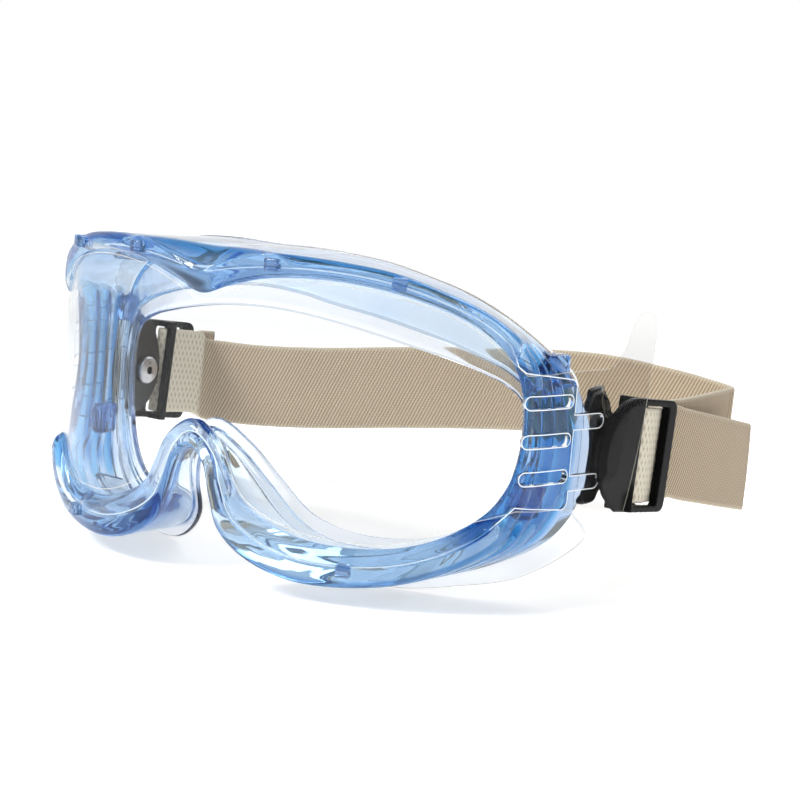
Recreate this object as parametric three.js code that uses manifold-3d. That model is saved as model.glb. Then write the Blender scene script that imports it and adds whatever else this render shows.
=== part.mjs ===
// Wrap-round safety goggles with a pivoting elastic headband, in millimetres.
// +Z is up, the goggles look along -Y and X runs across the face, with +X the wearer's left temple.
// The origin lies on the wearer's midline, midway between the front ends of the two temple clips.
import * as THREE from 'three';
import { mergeVertices } from 'three/addons/utils/BufferGeometryUtils.js';
import Module from 'manifold-3d';

const wasm = await Module();
wasm.setup();

// ---- driving dimensions ----
const GAP = 0.3;                       // clearance between neighbouring pieces
const LENS_RADIUS = 100;               // plan radius of the front of the lens
const LENS_FRONT_Y = -55.7;            // foremost line of the lens
const LENS_SWEEP = THREE.MathUtils.degToRad(45);   // half angle of the front arc
const CORNER_RADIUS = 22;              // plan radius where the lens turns back to the temple
const TEMPLE_HEADING = THREE.MathUtils.degToRad(80);
const LENS_THICKNESS = 1.6;
const FILM_THICKNESS = 0.4;
const FACE_FRONT_Y = -27;              // foremost line of the face contour, at the brow
const FACE_DEPTH = 35;                 // how far the contour runs back to FACE_HALF_WIDTH
const FACE_HALF_WIDTH = 80;
const FACE_POWER = 2.2;
const WALL = 2.7;                      // thickness of the soft frame's side wall
const FLANGE = 2.2;                    // thickness of the frame's rear flange
const SEAL_THICKNESS = 1.6;
const LIP_HEIGHT = 2.2;                // how far the bezel stands in front of the lens
const TEMPLE_LIP = 1;                  // and at the brow bezel's ends
const PIVOT_Y = 14;
const PIVOT_Z = -3.6;
const PIVOT = new THREE.Vector3(0, PIVOT_Y, PIVOT_Z);
const PIN_RADIUS = 2.2;
const PIN_HEAD_RADIUS = 4;
const BOSS_RADIUS = 5.5;
const CLIP_INNER_X = 76.3;
const CLIP_OUTER_X = 78.3;
const BOSS_OUTER_X = 80.4;
const WASHER_THICKNESS = 0.6;
const BUCKLE_INNER_X = 81.6;
const BUCKLE_THICKNESS = 2.2;
const BUCKLE_HEIGHT = 29.6;
const BUCKLE_FRONT_Y = 3.7;
const BUCKLE_REAR_Y = 41;
const BUCKLE_PITCH = THREE.MathUtils.degToRad(-6);  // the buckles' tilt about the pivots at rest
const WINDOW_FRONT_Y = 22.9;
const WINDOW_REAR_Y = 36.3;
const STRAP_WIDTH = 25;
const STRAP_THICKNESS = 1.5;
const CROSSBAR_X = 80.4;
const CROSSBAR_Y = 27.6;
const CROSSBAR_SIZE = [1.4, 3.6];      // across and along the strap
const LUG_SIZE = [3.6, 3.6, 3.2];       // along the bezel, in front of it and in height
const LUG_STANDOFF = 2.5;              // middle of a lug in front of the lens
const LUGS = [[21, 39.8], [52, 38], [44, -32.6]];   // distance along the lens plan, and height
const KEEPER_SIZE = [2, 2.5];           // keeper bar, across and along the strap
const RING_STEPS = 88;                 // stations round the frame
const X_AXIS = new THREE.Vector3(1, 0, 0);

// Stations round half of the goggles, from the middle of the brow over the temple (+X) to the nose arch.
// edge: opening's edge and rim: outer front edge, each as [distance along the lens plan, height].
// rear: outer rear edge, hem: inner edge of the rear flange, skirt: outer and lip: inner edge of the
// face seal, each as [half width, height]. nose: how far the seal steps forward over the nose.
const STATIONS = [
  [[0, 30.4], [0, 42.4], [0, 42.2], [0, 31], [0, 42.4], [0, 25.3], 0],
  [[9, 33.4], [12, 42.8], [11, 42.4], [10, 30.4], [11, 42.6], [10, 24.9], 0],
  [[20, 36.2], [24, 42.6], [21, 42], [20, 28.6], [21, 42.2], [20, 23.8], 0],
  [[35, 37.1], [38, 42], [32, 40.8], [31, 26.8], [32, 41], [31, 21.8], 0],
  [[50, 35.6], [51, 40.4], [42, 38.2], [40, 24.6], [42, 38.4], [39, 20], 0],
  [[64, 32], [64, 36.4], [51, 35], [48.5, 22], [51, 35.2], [47, 18], 0],
  [[74, 27], [74.5, 32], [59.5, 30], [56, 19], [59.5, 30.2], [54.5, 15.4], 0],
  [[81.5, 20], [83, 25.5], [67.5, 23.2], [61.5, 16], [67.5, 23.4], [60.5, 12.4], 0],
  [[85.3, 12], [88.3, 18], [74.2, 15.5], [65.5, 11.5], [74, 15.6], [64, 8.4], 0],
  [[86.6, 4], [89.6, 5], [77.9, 3.6], [67.5, 3], [75, 3.6], [65.8, 1.5], 0],
  [[85.8, -2.5], [89.2, -5], [78.2, -6.6], [67.5, -5], [75, -7], [65.8, -5.5], 0],
  [[82.6, -10], [86.4, -14.5], [76.8, -17.4], [65.5, -13], [75, -17.2], [63.6, -12.5], 0],
  [[76.5, -17], [80, -24], [72.2, -26], [61.5, -19.5], [78.2, -25.5], [60.2, -18.6], 0],
  [[67, -22.8], [70, -30.4], [63.2, -32.6], [56, -25.6], [67, -36], [55, -23.8], 0],
  [[56, -26.2], [57, -35.2], [52, -36.8], [49, -29.6], [53, -40], [48, -27.6], 0],
  [[44, -27.3], [43, -37.4], [40, -38.4], [39.5, -31.6], [40, -42], [39.5, -29.2], 0],
  [[32, -26.4], [30, -37.3], [30, -38], [29.5, -32], [30, -41], [30, -29.4], 0],
  [[22, -23.3], [18.5, -34], [22, -35], [23.2, -30.4], [21.5, -36.6], [24, -27.6], 2.5],
  [[15.2, -19], [10.3, -28.2], [15.4, -29], [18, -25.6], [14.6, -30], [19.2, -23.4], 7],
  [[11.4, -12.4], [6.8, -20], [11.6, -20.6], [14, -17.2], [10.8, -21.4], [15, -15.2], 13],
  [[7.6, -5.4], [4.4, -12], [6.6, -12.4], [8.4, -8.4], [6.2, -13], [9, -6.4], 18],
  [[0, -0.9], [0, -8.2], [0, -8.6], [0, -3.6], [0, -9], [0, -1.6], 20],
].map(([edge, rim, rear, hem, skirt, lip, nose]) => ({ edge, rim, rear, hem, skirt, lip, nose }));
const LAST_STATION = STATIONS.length - 1;
const TOP_BEZEL_END = 7.1;             // station where the brow bezel stops, above the lens tab
const LOW_BEZEL_END = 11.9;            // station where the lower bezel stops, below the lens tab

// Height of the lens tab at the temple, against distance along the lens plan.
const TAB_START = 84;
const TAB_END = 103;
const TAB_TOP = [18.4, 16.4];
const TAB_BOTTOM = [-14.8, -16.4];
const TONGUE_LENGTH = 8;
const TONGUE_HEIGHT = 4;
const TONGUES_Z = [5.6, -9.8];
const SLOTS_Z = [11, 1.4, -7.8];       // three open slots in each lens tab
const SLOT_SIZE = [17, 3.2];

// The headband's middle line behind the buckles, as [x, y, z] of the strap's centre.
const BAND_ROUTE = [
  [-78.7, 44.4, -8.6], [-76, 50, -9.4], [-66, 56.5, -9.8], [-48, 65, -8.6], [-20, 79, -5.4], [7, 91.5, -3],
  [30, 100, -2.2], [52, 104.4, -4.2], [64, 104.2, -5.6], [70, 102.4, -6.2], [71.6, 100.2, -6.4],
  [71.6, 96.6, -6.4], [73.4, 86, -6.2], [76, 70, -5.8], [78, 56, -5.3], [78.8, 46, -5],
];
const TAIL_ROUTE = [[81, 45.6, -5.8], [81.6, 52, -7.2], [82, 64, -9.4], [81.8, 78, -12], [81, 93.5, -14.8]];
const HEM_ROUTE = [[-81.2, 45, -6.5], [-81.2, 51, -7]];

// ---- curves and surfaces ----

// Point on the lens plan curve at distance s along it, moved outward by offset.
function lensPlan(s, offset = 0) {
  const side = Math.sign(s) || 1;
  const arc = Math.abs(s);
  const frontEnd = LENS_RADIUS * LENS_SWEEP;
  const cornerEnd = frontEnd + CORNER_RADIUS * (TEMPLE_HEADING - LENS_SWEEP);
  const centreY = LENS_FRONT_Y + LENS_RADIUS;
  const heading = arc < frontEnd ? arc / LENS_RADIUS
    : Math.min(LENS_SWEEP + (arc - frontEnd) / CORNER_RADIUS, TEMPLE_HEADING);
  const bend = Math.min(heading, LENS_SWEEP);
  const straight = Math.max(arc - cornerEnd, 0);
  let x = LENS_RADIUS * Math.sin(bend) + straight * Math.cos(TEMPLE_HEADING);
  let y = centreY - LENS_RADIUS * Math.cos(bend) + straight * Math.sin(TEMPLE_HEADING);
  if (arc > frontEnd) {
    x += CORNER_RADIUS * (Math.sin(heading) - Math.sin(LENS_SWEEP));
    y += CORNER_RADIUS * (Math.cos(LENS_SWEEP) - Math.cos(heading));
  }
  return [side * (x + offset * Math.sin(heading)), y - offset * Math.cos(heading)];
}

function onLens([s, z], offset) {
  const [x, y] = lensPlan(s, offset);
  return new THREE.Vector3(x, y, z);
}

// Point on the face contour, moved back by offset and forward over the nose.
function onFace([x, z], nose, offset) {
  const y = FACE_FRONT_Y + FACE_DEPTH * Math.abs(x / FACE_HALF_WIDTH) ** FACE_POWER;
  return new THREE.Vector3(x, y - nose + offset, z);
}

// One named outline of the stations as a smooth closed loop of [across, height] over the station number.
function outline(name) {
  const half = STATIONS.map((station) => station[name]);
  const mirrored = half.slice(1, LAST_STATION).reverse().map(([a, z]) => [-a, z]);
  const points = [...half, ...mirrored].map(([a, z]) => new THREE.Vector3(a, z, 0));
  const curve = new THREE.CatmullRomCurve3(points, true, 'catmullrom', 0.5);
  return (station) => {
    const turn = ((station / points.length) % 1 + 1) % 1;
    const p = curve.getPoint(turn);
    return [p.x, p.y];
  };
}

const OUTLINE_NAMES = ['edge', 'rim', 'rear', 'hem', 'skirt', 'lip'];
const OUTLINES = Object.fromEntries(OUTLINE_NAMES.map((name) => [name, outline(name)]));
const LOOP = 2 * LAST_STATION;

function noseStep(station) {
  const place = Math.min(station, LOOP - station);
  const low = Math.min(Math.floor(place), LAST_STATION - 1);
  return THREE.MathUtils.lerp(STATIONS[low].nose, STATIONS[low + 1].nose, place - low);
}

function between(a, b, share) {
  return a.map((value, i) => THREE.MathUtils.lerp(value, b[i], share));
}

function towards(from, to, distance) {
  const length = Math.hypot(to[0] - from[0], to[1] - from[1]);
  return between(from, to, distance / length);
}

// ---- mesh helpers ----

function geometryOf(points, triangles) {
  const geometry = new THREE.BufferGeometry();
  const coordinates = points.flatMap((p) => [p.x, p.y, p.z]);
  geometry.setAttribute('position', new THREE.Float32BufferAttribute(coordinates, 3));
  geometry.setIndex(triangles);
  geometry.computeVertexNormals();
  return geometry;
}

function signedVolume(points, triangles) {
  let sum = 0;
  for (let i = 0; i < triangles.length; i += 3) {
    const [a, b, c] = [0, 1, 2].map((k) => points[triangles[i + k]]);
    sum += a.dot(new THREE.Vector3().crossVectors(b, c));
  }
  return sum;
}

// Skin between equal rings of points. A closed loop joins its last ring to its first, an open one is capped.
function loft(rings, closed) {
  const count = rings[0].length;
  const points = rings.flat();
  const triangles = [];
  const spans = closed ? rings.length : rings.length - 1;
  for (let i = 0; i < spans; i += 1) {
    const here = i * count;
    const next = ((i + 1) % rings.length) * count;
    for (let j = 0; j < count; j += 1) {
      const k = (j + 1) % count;
      triangles.push(here + j, next + j, next + k, here + j, next + k, here + k);
    }
  }
  if (!closed) {
    const last = (rings.length - 1) * count;
    for (const [a, b, c] of capTriangles(rings[0])) triangles.push(a, b, c);
    for (const [a, b, c] of capTriangles(rings.at(-1))) triangles.push(last + a, last + c, last + b);
  }
  if (signedVolume(points, triangles) < 0) {
    for (let i = 0; i < triangles.length; i += 3) {
      [triangles[i + 1], triangles[i + 2]] = [triangles[i + 2], triangles[i + 1]];
    }
  }
  return geometryOf(points, triangles);
}

// Triangles over a nearly flat ring, wound against the skin's own direction.
function capTriangles(ring) {
  const normal = new THREE.Vector3();
  ring.forEach((p, i) => normal.add(new THREE.Vector3().crossVectors(p, ring[(i + 1) % ring.length])));
  const u = new THREE.Vector3().subVectors(ring[1], ring[0]).normalize();
  const v = new THREE.Vector3().crossVectors(normal.normalize(), u);
  const flat = ring.map((p) => new THREE.Vector2(p.dot(u), p.dot(v)));
  return THREE.ShapeUtils.triangulateShape(flat, []);
}

function toSolid(geometry) {
  const bare = geometry.clone();
  for (const name of Object.keys(bare.attributes)) {
    if (name !== 'position') bare.deleteAttribute(name);
  }
  const merged = mergeVertices(bare, 1e-4);
  return new wasm.Manifold(new wasm.Mesh({
    numProp: 3,
    vertProperties: new Float32Array(merged.attributes.position.array),
    triVerts: new Uint32Array(merged.index.array),
  }));
}

function toGeometry(solid) {
  const mesh = solid.getMesh();
  const geometry = new THREE.BufferGeometry();
  geometry.setAttribute('position', new THREE.BufferAttribute(new Float32Array(mesh.vertProperties), 3));
  geometry.setIndex(new THREE.BufferAttribute(new Uint32Array(mesh.triVerts), 1));
  geometry.computeVertexNormals();
  return geometry;
}

function join(...geometries) {
  return toGeometry(geometries.map(toSolid).reduce((a, b) => a.add(b)));
}

function cut(geometry, ...tools) {
  return toGeometry(tools.map(toSolid).reduce((a, b) => a.subtract(b), toSolid(geometry)));
}

// Plate in the YZ plane from an outline of [y, z], between two values of x.
function platePart(shape, x0, x1, curveSegments = 8) {
  const geometry = new THREE.ExtrudeGeometry(shape, { depth: x1 - x0, bevelEnabled: false, curveSegments });
  const axes = new THREE.Matrix4().makeBasis(
    new THREE.Vector3(0, 1, 0), new THREE.Vector3(0, 0, 1), new THREE.Vector3(1, 0, 0));
  return geometry.applyMatrix4(axes).translate(x0, 0, 0);
}

function boxPart(x0, x1, y0, y1, z0, z1) {
  return new THREE.BoxGeometry(x1 - x0, y1 - y0, z1 - z0)
    .translate((x0 + x1) / 2, (y0 + y1) / 2, (z0 + z1) / 2);
}

// Round bar along X, centred on the pivot.
function pivotCylinder(radius, x0, x1, segments = 28) {
  return new THREE.CylinderGeometry(radius, radius, x1 - x0, segments)
    .rotateZ(Math.PI / 2).translate((x0 + x1) / 2, PIVOT_Y, PIVOT_Z);
}

function roundedRectangle(y0, y1, z0, z1, radius) {
  const shape = new THREE.Shape();
  shape.moveTo(y0 + radius, z0);
  shape.lineTo(y1 - radius, z0);
  shape.absarc(y1 - radius, z0 + radius, radius, -Math.PI / 2, 0);
  shape.lineTo(y1, z1 - radius);
  shape.absarc(y1 - radius, z1 - radius, radius, 0, Math.PI / 2);
  shape.lineTo(y0 + radius, z1);
  shape.absarc(y0 + radius, z1 - radius, radius, Math.PI / 2, Math.PI);
  shape.lineTo(y0, z0 + radius);
  shape.absarc(y0 + radius, z0 + radius, radius, Math.PI, 1.5 * Math.PI);
  return shape;
}

// ---- soft frame: wall with its rear flange, and the bezel lips that hold the lens ----

const LENS_BACK = -(LENS_THICKNESS + GAP);

function wallRing(station) {
  const [edge, rim, rear, hem] = ['edge', 'rim', 'rear', 'hem'].map((n) => OUTLINES[n](station));
  const nose = noseStep(station);
  const corner = towards(rear, hem, WALL);
  return [
    onLens(edge, LENS_BACK),
    onLens(rim, LENS_BACK),
    onFace(rear, nose, 0),
    onFace(hem, nose, 0),
    onFace(hem, nose, -FLANGE),
    onFace(corner, nose, -FLANGE),
    onLens(between(edge, rim, 0.3), LENS_BACK - WALL),
  ];
}

// The lip is lower beside the temples than over the brow and the cheeks.
function lipHeight(station) {
  const place = Math.min(station, LOOP - station);
  return THREE.MathUtils.lerp(LIP_HEIGHT, TEMPLE_LIP, THREE.MathUtils.smoothstep(place, 4, TOP_BEZEL_END));
}

function bezelRing(station) {
  const edge = OUTLINES.edge(station);
  const rim = OUTLINES.rim(station);
  const groove = between(edge, rim, 0.55);
  const lip = station > LOW_BEZEL_END && station < LOOP - LOW_BEZEL_END ? LIP_HEIGHT : lipHeight(station);
  return [
    onLens(edge, GAP),
    onLens(between(edge, rim, 0.15), lip),
    onLens(between(edge, rim, 0.6), lip + 0.9),
    onLens(rim, lip - 0.6),
    onLens(rim, LENS_BACK - 0.6),
    onLens(groove, LENS_BACK - 0.6),
    onLens(groove, GAP),
  ];
}

function bezel(first, last, steps) {
  const rings = Array.from({ length: steps + 1 }, (_, i) => {
    const station = THREE.MathUtils.lerp(first, last, i / steps);
    return bezelRing((station + LOOP) % LOOP);
  });
  return loft(rings, false);
}

// Square lug moulded on the bezel, at a distance along the lens plan and a height.
function lug(s, z) {
  const [x, y] = lensPlan(s, LUG_STANDOFF);
  const [x2, y2] = lensPlan(s + 0.5, LUG_STANDOFF);
  return new THREE.BoxGeometry(...LUG_SIZE).rotateZ(Math.atan2(y2 - y, x2 - x)).translate(x, y, z);
}

function frameBody() {
  const wall = loft(Array.from({ length: RING_STEPS }, (_, i) => wallRing(i * LOOP / RING_STEPS)), true);
  const brow = bezel(-TOP_BEZEL_END, TOP_BEZEL_END, 32);
  const cheeks = bezel(LOW_BEZEL_END, LOOP - LOW_BEZEL_END, 46);
  const lugs = [-1, 1].flatMap((side) => LUGS.map(([s, z]) => lug(side * s, z)));
  return join(wall, brow, cheeks, ...lugs);
}

// ---- face seal: thin clear flange behind the frame ----

function sealRing(station) {
  const skirt = OUTLINES.skirt(station);
  const lip = OUTLINES.lip(station);
  const nose = noseStep(station);
  return [
    onFace(skirt, nose, GAP),
    onFace(skirt, nose, GAP + SEAL_THICKNESS),
    onFace(lip, nose, GAP + SEAL_THICKNESS),
    onFace(lip, nose, GAP),
  ];
}

function faceSeal() {
  return loft(Array.from({ length: RING_STEPS }, (_, i) => sealRing(i * LOOP / RING_STEPS)), true);
}

// ---- lens and peel-off film: panels of upright strips along the plan curve ----

// Height where an outline, moved from the opening's edge by share, crosses the distance s.
function edgeHeight(s, share, upper) {
  const first = upper ? 0 : LOW_BEZEL_END;
  const last = upper ? TOP_BEZEL_END : LAST_STATION;
  const steps = 160;
  let best = null;
  for (let i = 0; i <= steps; i += 1) {
    const station = THREE.MathUtils.lerp(first, last, i / steps);
    const [across, height] = between(OUTLINES.edge(station), OUTLINES.rim(station), share);
    const miss = Math.abs(across - s);
    if (best === null || miss < best.miss) best = { miss, height };
  }
  return best.height;
}

function panelHeights(s, share) {
  const arc = Math.abs(s);
  const along = THREE.MathUtils.clamp((arc - TAB_START) / (TAB_END - TAB_START), 0, 1);
  const tabTop = THREE.MathUtils.lerp(...TAB_TOP, along);
  const tabBottom = THREE.MathUtils.lerp(...TAB_BOTTOM, along);
  const joinAt = 79;
  if (arc > TAB_START) return [tabBottom, tabTop];
  const blend = THREE.MathUtils.smoothstep(arc, joinAt, TAB_START);
  const top = THREE.MathUtils.lerp(edgeHeight(arc, share, true), tabTop, blend);
  const bottom = THREE.MathUtils.lerp(edgeHeight(arc, share, false), tabBottom, blend);
  return [bottom, top];
}

const FRONT_DISTANCES = [
  0, 2.5, 5, 7.2, 9.2, 11, 13.5, 17, 22, 28, 35, 42, 49, 56, 62, 68, 73, 77, 79.5, 81.5, TAB_START,
];

function mirroredDistances(distances) {
  return [...distances.slice(1).reverse().map((s) => -s), ...distances];
}

function lensPart() {
  const distances = mirroredDistances([...FRONT_DISTANCES, 87, 90, 94, TAB_END]);
  const rings = distances.map((s) => {
    const [bottom, top] = panelHeights(s, 0.5);
    return [
      onLens([s, bottom], 0), onLens([s, top], 0),
      onLens([s, top], -LENS_THICKNESS), onLens([s, bottom], -LENS_THICKNESS),
    ];
  });
  const slotStart = TAB_START + 1;
  const [slotLength, slotHeight] = SLOT_SIZE;
  const tongue = (side, z) => tabStrip(
    side, TAB_END - 2, TAB_END + TONGUE_LENGTH, z, TONGUE_HEIGHT, 0, -LENS_THICKNESS);
  const slot = (side, z) => tabStrip(
    side, slotStart, slotStart + slotLength, z, slotHeight, 1, -LENS_THICKNESS - 1);
  const tongues = [-1, 1].flatMap((side) => TONGUES_Z.map((z) => tongue(side, z)));
  const slots = [-1, 1].flatMap((side) => SLOTS_Z.map((z) => slot(side, z)));
  return cut(join(loft(rings, false), ...tongues), ...slots);
}

// Strip that follows the lens plan between two distances, with rounded ends.
function tabStrip(side, s0, s1, z, height, outer, inner) {
  const round = height / 2;
  const turns = [0, 30, 60, 90].map(THREE.MathUtils.degToRad);
  const halfHeight = (a) => Math.max(round * Math.sin(a), 0.2);
  const near = turns.map((a) => [s0 + round * (1 - Math.cos(a)), halfHeight(a)]);
  const far = turns.map((a) => [s1 - round * (1 - Math.cos(a)), halfHeight(a)]).reverse();
  const middle = [0.33, 0.67].map((share) => [THREE.MathUtils.lerp(s0 + round, s1 - round, share), round]);
  const rings = [...near, ...middle, ...far].map(([s, half]) => [
    onLens([side * s, z - half], outer), onLens([side * s, z + half], outer),
    onLens([side * s, z + half], inner), onLens([side * s, z - half], inner)]);
  return loft(rings, false);
}

// The film leaves the tab and stands out past the buckle as an ear, given as [x, y, bottom, top].
const FILM_EAR = [
  [81.6, -3.4, -17, 19], [84.5, 0.2, -20, 20.4], [85.1, 5.6, -21.8, 21.6], [85.3, 9, -22, 24],
  [85.5, 12.4, -21, 28.6], [85.7, 15, -18.6, 30], [85.9, 18.4, -8, 30], [86.1, 21, 8, 28.6],
];

function filmPart() {
  const inset = -0.12;
  const inner = GAP + 0.05;
  const along = [...FRONT_DISTANCES, 88, 93, 97];
  const ear = FILM_EAR.map(([x, y, bottom, top]) => (
    { plan: [x, y], outer: [x + FILM_THICKNESS, y], bottom, top }));
  const front = along.map((s) => {
    const [bottom, top] = s > TAB_START ? [-16, 18] : panelHeights(s, inset);
    return { plan: lensPlan(s, inner), outer: lensPlan(s, inner + FILM_THICKNESS), bottom, top };
  });
  const half = [...front, ...ear].map(({ plan, outer, bottom, top }) => [
    new THREE.Vector3(...plan, bottom), new THREE.Vector3(...plan, top),
    new THREE.Vector3(...outer, top), new THREE.Vector3(...outer, bottom),
  ]);
  const other = half.slice(1).reverse().map((ring) => ring.map((p) => new THREE.Vector3(-p.x, p.y, p.z)));
  return loft([...other, ...half], false);
}

// ---- vent baffles: clear strips lying inside the brow and cheek walls ----

function wallPoint(station, depth, inward) {
  const ring = wallRing(station);
  const front = ring[6];
  const back = ring[5];
  const point = front.clone().lerp(back, depth);
  const along = new THREE.Vector3().subVectors(wallRing(station + 0.1)[6], front);
  const rearward = new THREE.Vector3().subVectors(back, front);
  const normal = new THREE.Vector3().crossVectors(along, rearward).normalize();
  return point.addScaledVector(normal, -inward);
}

function ventBaffle(first, last) {
  const steps = 8;
  const depths = [0.25, 0.8];
  const heights = [GAP + 0.1, GAP + 1.5];
  const rings = Array.from({ length: steps + 1 }, (_, i) => {
    const station = THREE.MathUtils.lerp(first, last, i / steps);
    return [wallPoint(station, depths[0], heights[0]), wallPoint(station, depths[1], heights[0]),
      wallPoint(station, depths[1], heights[1]), wallPoint(station, depths[0], heights[1])];
  });
  return loft(rings, false);
}

// ---- temple clip, pivot and buckle, made for +X ----

function anchorClip() {
  const shape = new THREE.Shape();
  shape.moveTo(6.4, 13.2);
  shape.quadraticCurveTo(10, 15, 12.6, 13.2);
  shape.lineTo(16.8, 9.2);
  shape.quadraticCurveTo(20.6, 3, 20.4, -2);
  shape.quadraticCurveTo(20.6, -8, 17, -12.4);
  shape.quadraticCurveTo(13, -17, 7.4, -16.2);
  shape.lineTo(6.4, -13.6);
  shape.quadraticCurveTo(7.6, -6, 7.2, 0);
  shape.quadraticCurveTo(7.6, 7, 6.4, 13.2);
  const plate = platePart(shape, CLIP_INNER_X, CLIP_OUTER_X, 6);
  const boss = pivotCylinder(BOSS_RADIUS, CLIP_OUTER_X - 0.5, BOSS_OUTER_X);
  const bore = pivotCylinder(PIN_RADIUS + GAP, CLIP_INNER_X - 1, BOSS_OUTER_X + 1);
  return cut(join(plate, boss), bore);
}

function pivotPin() {
  const head = pivotCylinder(PIN_HEAD_RADIUS, CLIP_INNER_X - GAP - 1.4, CLIP_INNER_X - GAP);
  const shank = pivotCylinder(PIN_RADIUS, CLIP_INNER_X - GAP - 0.7, BUCKLE_INNER_X + 1.1);
  return join(head, shank);
}

function pivotWasher() {
  const x0 = BOSS_OUTER_X + GAP;
  const disc = pivotCylinder(BOSS_RADIUS - 0.4, x0, x0 + WASHER_THICKNESS);
  return cut(disc, pivotCylinder(PIN_RADIUS + GAP, x0 - 1, x0 + 2));
}

const HALF_BUCKLE = BUCKLE_HEIGHT / 2;
const RAIL = (BUCKLE_HEIGHT - STRAP_WIDTH) / 2 - 0.5;

function bucklePart() {
  const shape = new THREE.Shape();
  const z = (height) => PIVOT_Z + height;
  shape.moveTo(BUCKLE_REAR_Y, z(-HALF_BUCKLE + 3));
  shape.lineTo(BUCKLE_REAR_Y, z(HALF_BUCKLE - 3));
  shape.quadraticCurveTo(BUCKLE_REAR_Y, z(HALF_BUCKLE), BUCKLE_REAR_Y - 3, z(HALF_BUCKLE));
  shape.lineTo(19.5, z(HALF_BUCKLE));
  shape.bezierCurveTo(13.5, z(HALF_BUCKLE), BUCKLE_FRONT_Y, z(9), BUCKLE_FRONT_Y, z(0));
  shape.bezierCurveTo(BUCKLE_FRONT_Y, z(-7), 9.5, z(-12), 16.5, z(-HALF_BUCKLE));
  shape.lineTo(BUCKLE_REAR_Y - 3, z(-HALF_BUCKLE));
  shape.quadraticCurveTo(BUCKLE_REAR_Y, z(-HALF_BUCKLE), BUCKLE_REAR_Y, z(-HALF_BUCKLE + 3));
  const opening = STRAP_WIDTH / 2 + 0.5;
  const plate = platePart(shape, BUCKLE_INNER_X, BUCKLE_INNER_X + BUCKLE_THICKNESS);
  const window = platePart(roundedRectangle(WINDOW_FRONT_Y, WINDOW_REAR_Y, z(-opening), z(opening), 1),
    BUCKLE_INNER_X - 1, BUCKLE_INNER_X + BUCKLE_THICKNESS + 1, 3);
  const pocket = pivotCylinder(PIN_RADIUS + GAP, BUCKLE_INNER_X - 1, BUCKLE_INNER_X + 1.4);
  const [across, along] = CROSSBAR_SIZE;
  const crossbar = boxPart(CROSSBAR_X - across / 2, CROSSBAR_X + across / 2, CROSSBAR_Y - along / 2,
    CROSSBAR_Y + along / 2, z(-HALF_BUCKLE), z(HALF_BUCKLE));
  const posts = [-1, 1].map((side) => boxPart(CROSSBAR_X, BUCKLE_INNER_X + 0.4, CROSSBAR_Y - along / 2,
    CROSSBAR_Y + along / 2, Math.min(z(side * opening), z(side * HALF_BUCKLE)),
    Math.max(z(side * opening), z(side * HALF_BUCKLE))));
  return join(cut(plate, window, pocket), crossbar, ...posts);
}

// Keeper bar inside the strap, with an end hook that reaches out to each rail of the buckle.
function keeperBar() {
  const y0 = WINDOW_FRONT_Y;
  const y1 = y0 + KEEPER_SIZE[1];
  const inner = CROSSBAR_X - 4.8;
  const bar = boxPart(inner, inner + KEEPER_SIZE[0], y0, y1, PIVOT_Z - HALF_BUCKLE, PIVOT_Z + HALF_BUCKLE);
  const hooks = [-1, 1].map((side) => {
    const ends = [PIVOT_Z + side * (HALF_BUCKLE - RAIL), PIVOT_Z + side * HALF_BUCKLE].sort((a, b) => a - b);
    return boxPart(inner, BUCKLE_INNER_X - GAP, y0, y1, ...ends);
  });
  return join(bar, ...hooks);
}

function mirrorX(geometry) {
  const copy = geometry.clone().scale(-1, 1, 1);
  const index = copy.index ?? null;
  if (index) {
    for (let i = 0; i < index.count; i += 3) {
      const b = index.getX(i + 1);
      index.setX(i + 1, index.getX(i + 2));
      index.setX(i + 2, b);
    }
  }
  copy.computeVertexNormals();
  return copy;
}

// Turn a piece made upright about the pivot axis to the buckles' rest pitch.
function pitched(point) {
  return point.clone().sub(PIVOT).applyAxisAngle(X_AXIS, BUCKLE_PITCH).add(PIVOT);
}

// ---- headband: one strap, threaded round both crossbars ----

// Middle line of the turn round a crossbar, from the inner run to the outer layer, for side +1 or -1.
function crossbarTurn(side) {
  const [across, along] = CROSSBAR_SIZE;
  const reach = across / 2 + GAP + STRAP_THICKNESS / 2;
  const front = CROSSBAR_Y - along / 2 + 0.4;
  const turn = Array.from({ length: 7 }, (_, i) => {
    const angle = THREE.MathUtils.lerp(-Math.PI / 2, Math.PI / 2, i / 6);
    return [CROSSBAR_X + reach * Math.sin(angle), front - reach * Math.cos(angle)];
  });
  const inner = [[CROSSBAR_X - reach, WINDOW_REAR_Y + 4], [CROSSBAR_X - reach, CROSSBAR_Y]];
  const outer = [
    [CROSSBAR_X + reach, CROSSBAR_Y + 1.8], [CROSSBAR_X + 0.9, CROSSBAR_Y + 5.4],
    [CROSSBAR_X + 0.1, WINDOW_REAR_Y + 0.6], [CROSSBAR_X + 0.1, WINDOW_REAR_Y + 5],
  ];
  return [...inner, ...turn, ...outer].map(([x, y]) => pitched(new THREE.Vector3(side * x, y, PIVOT_Z)));
}

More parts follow.
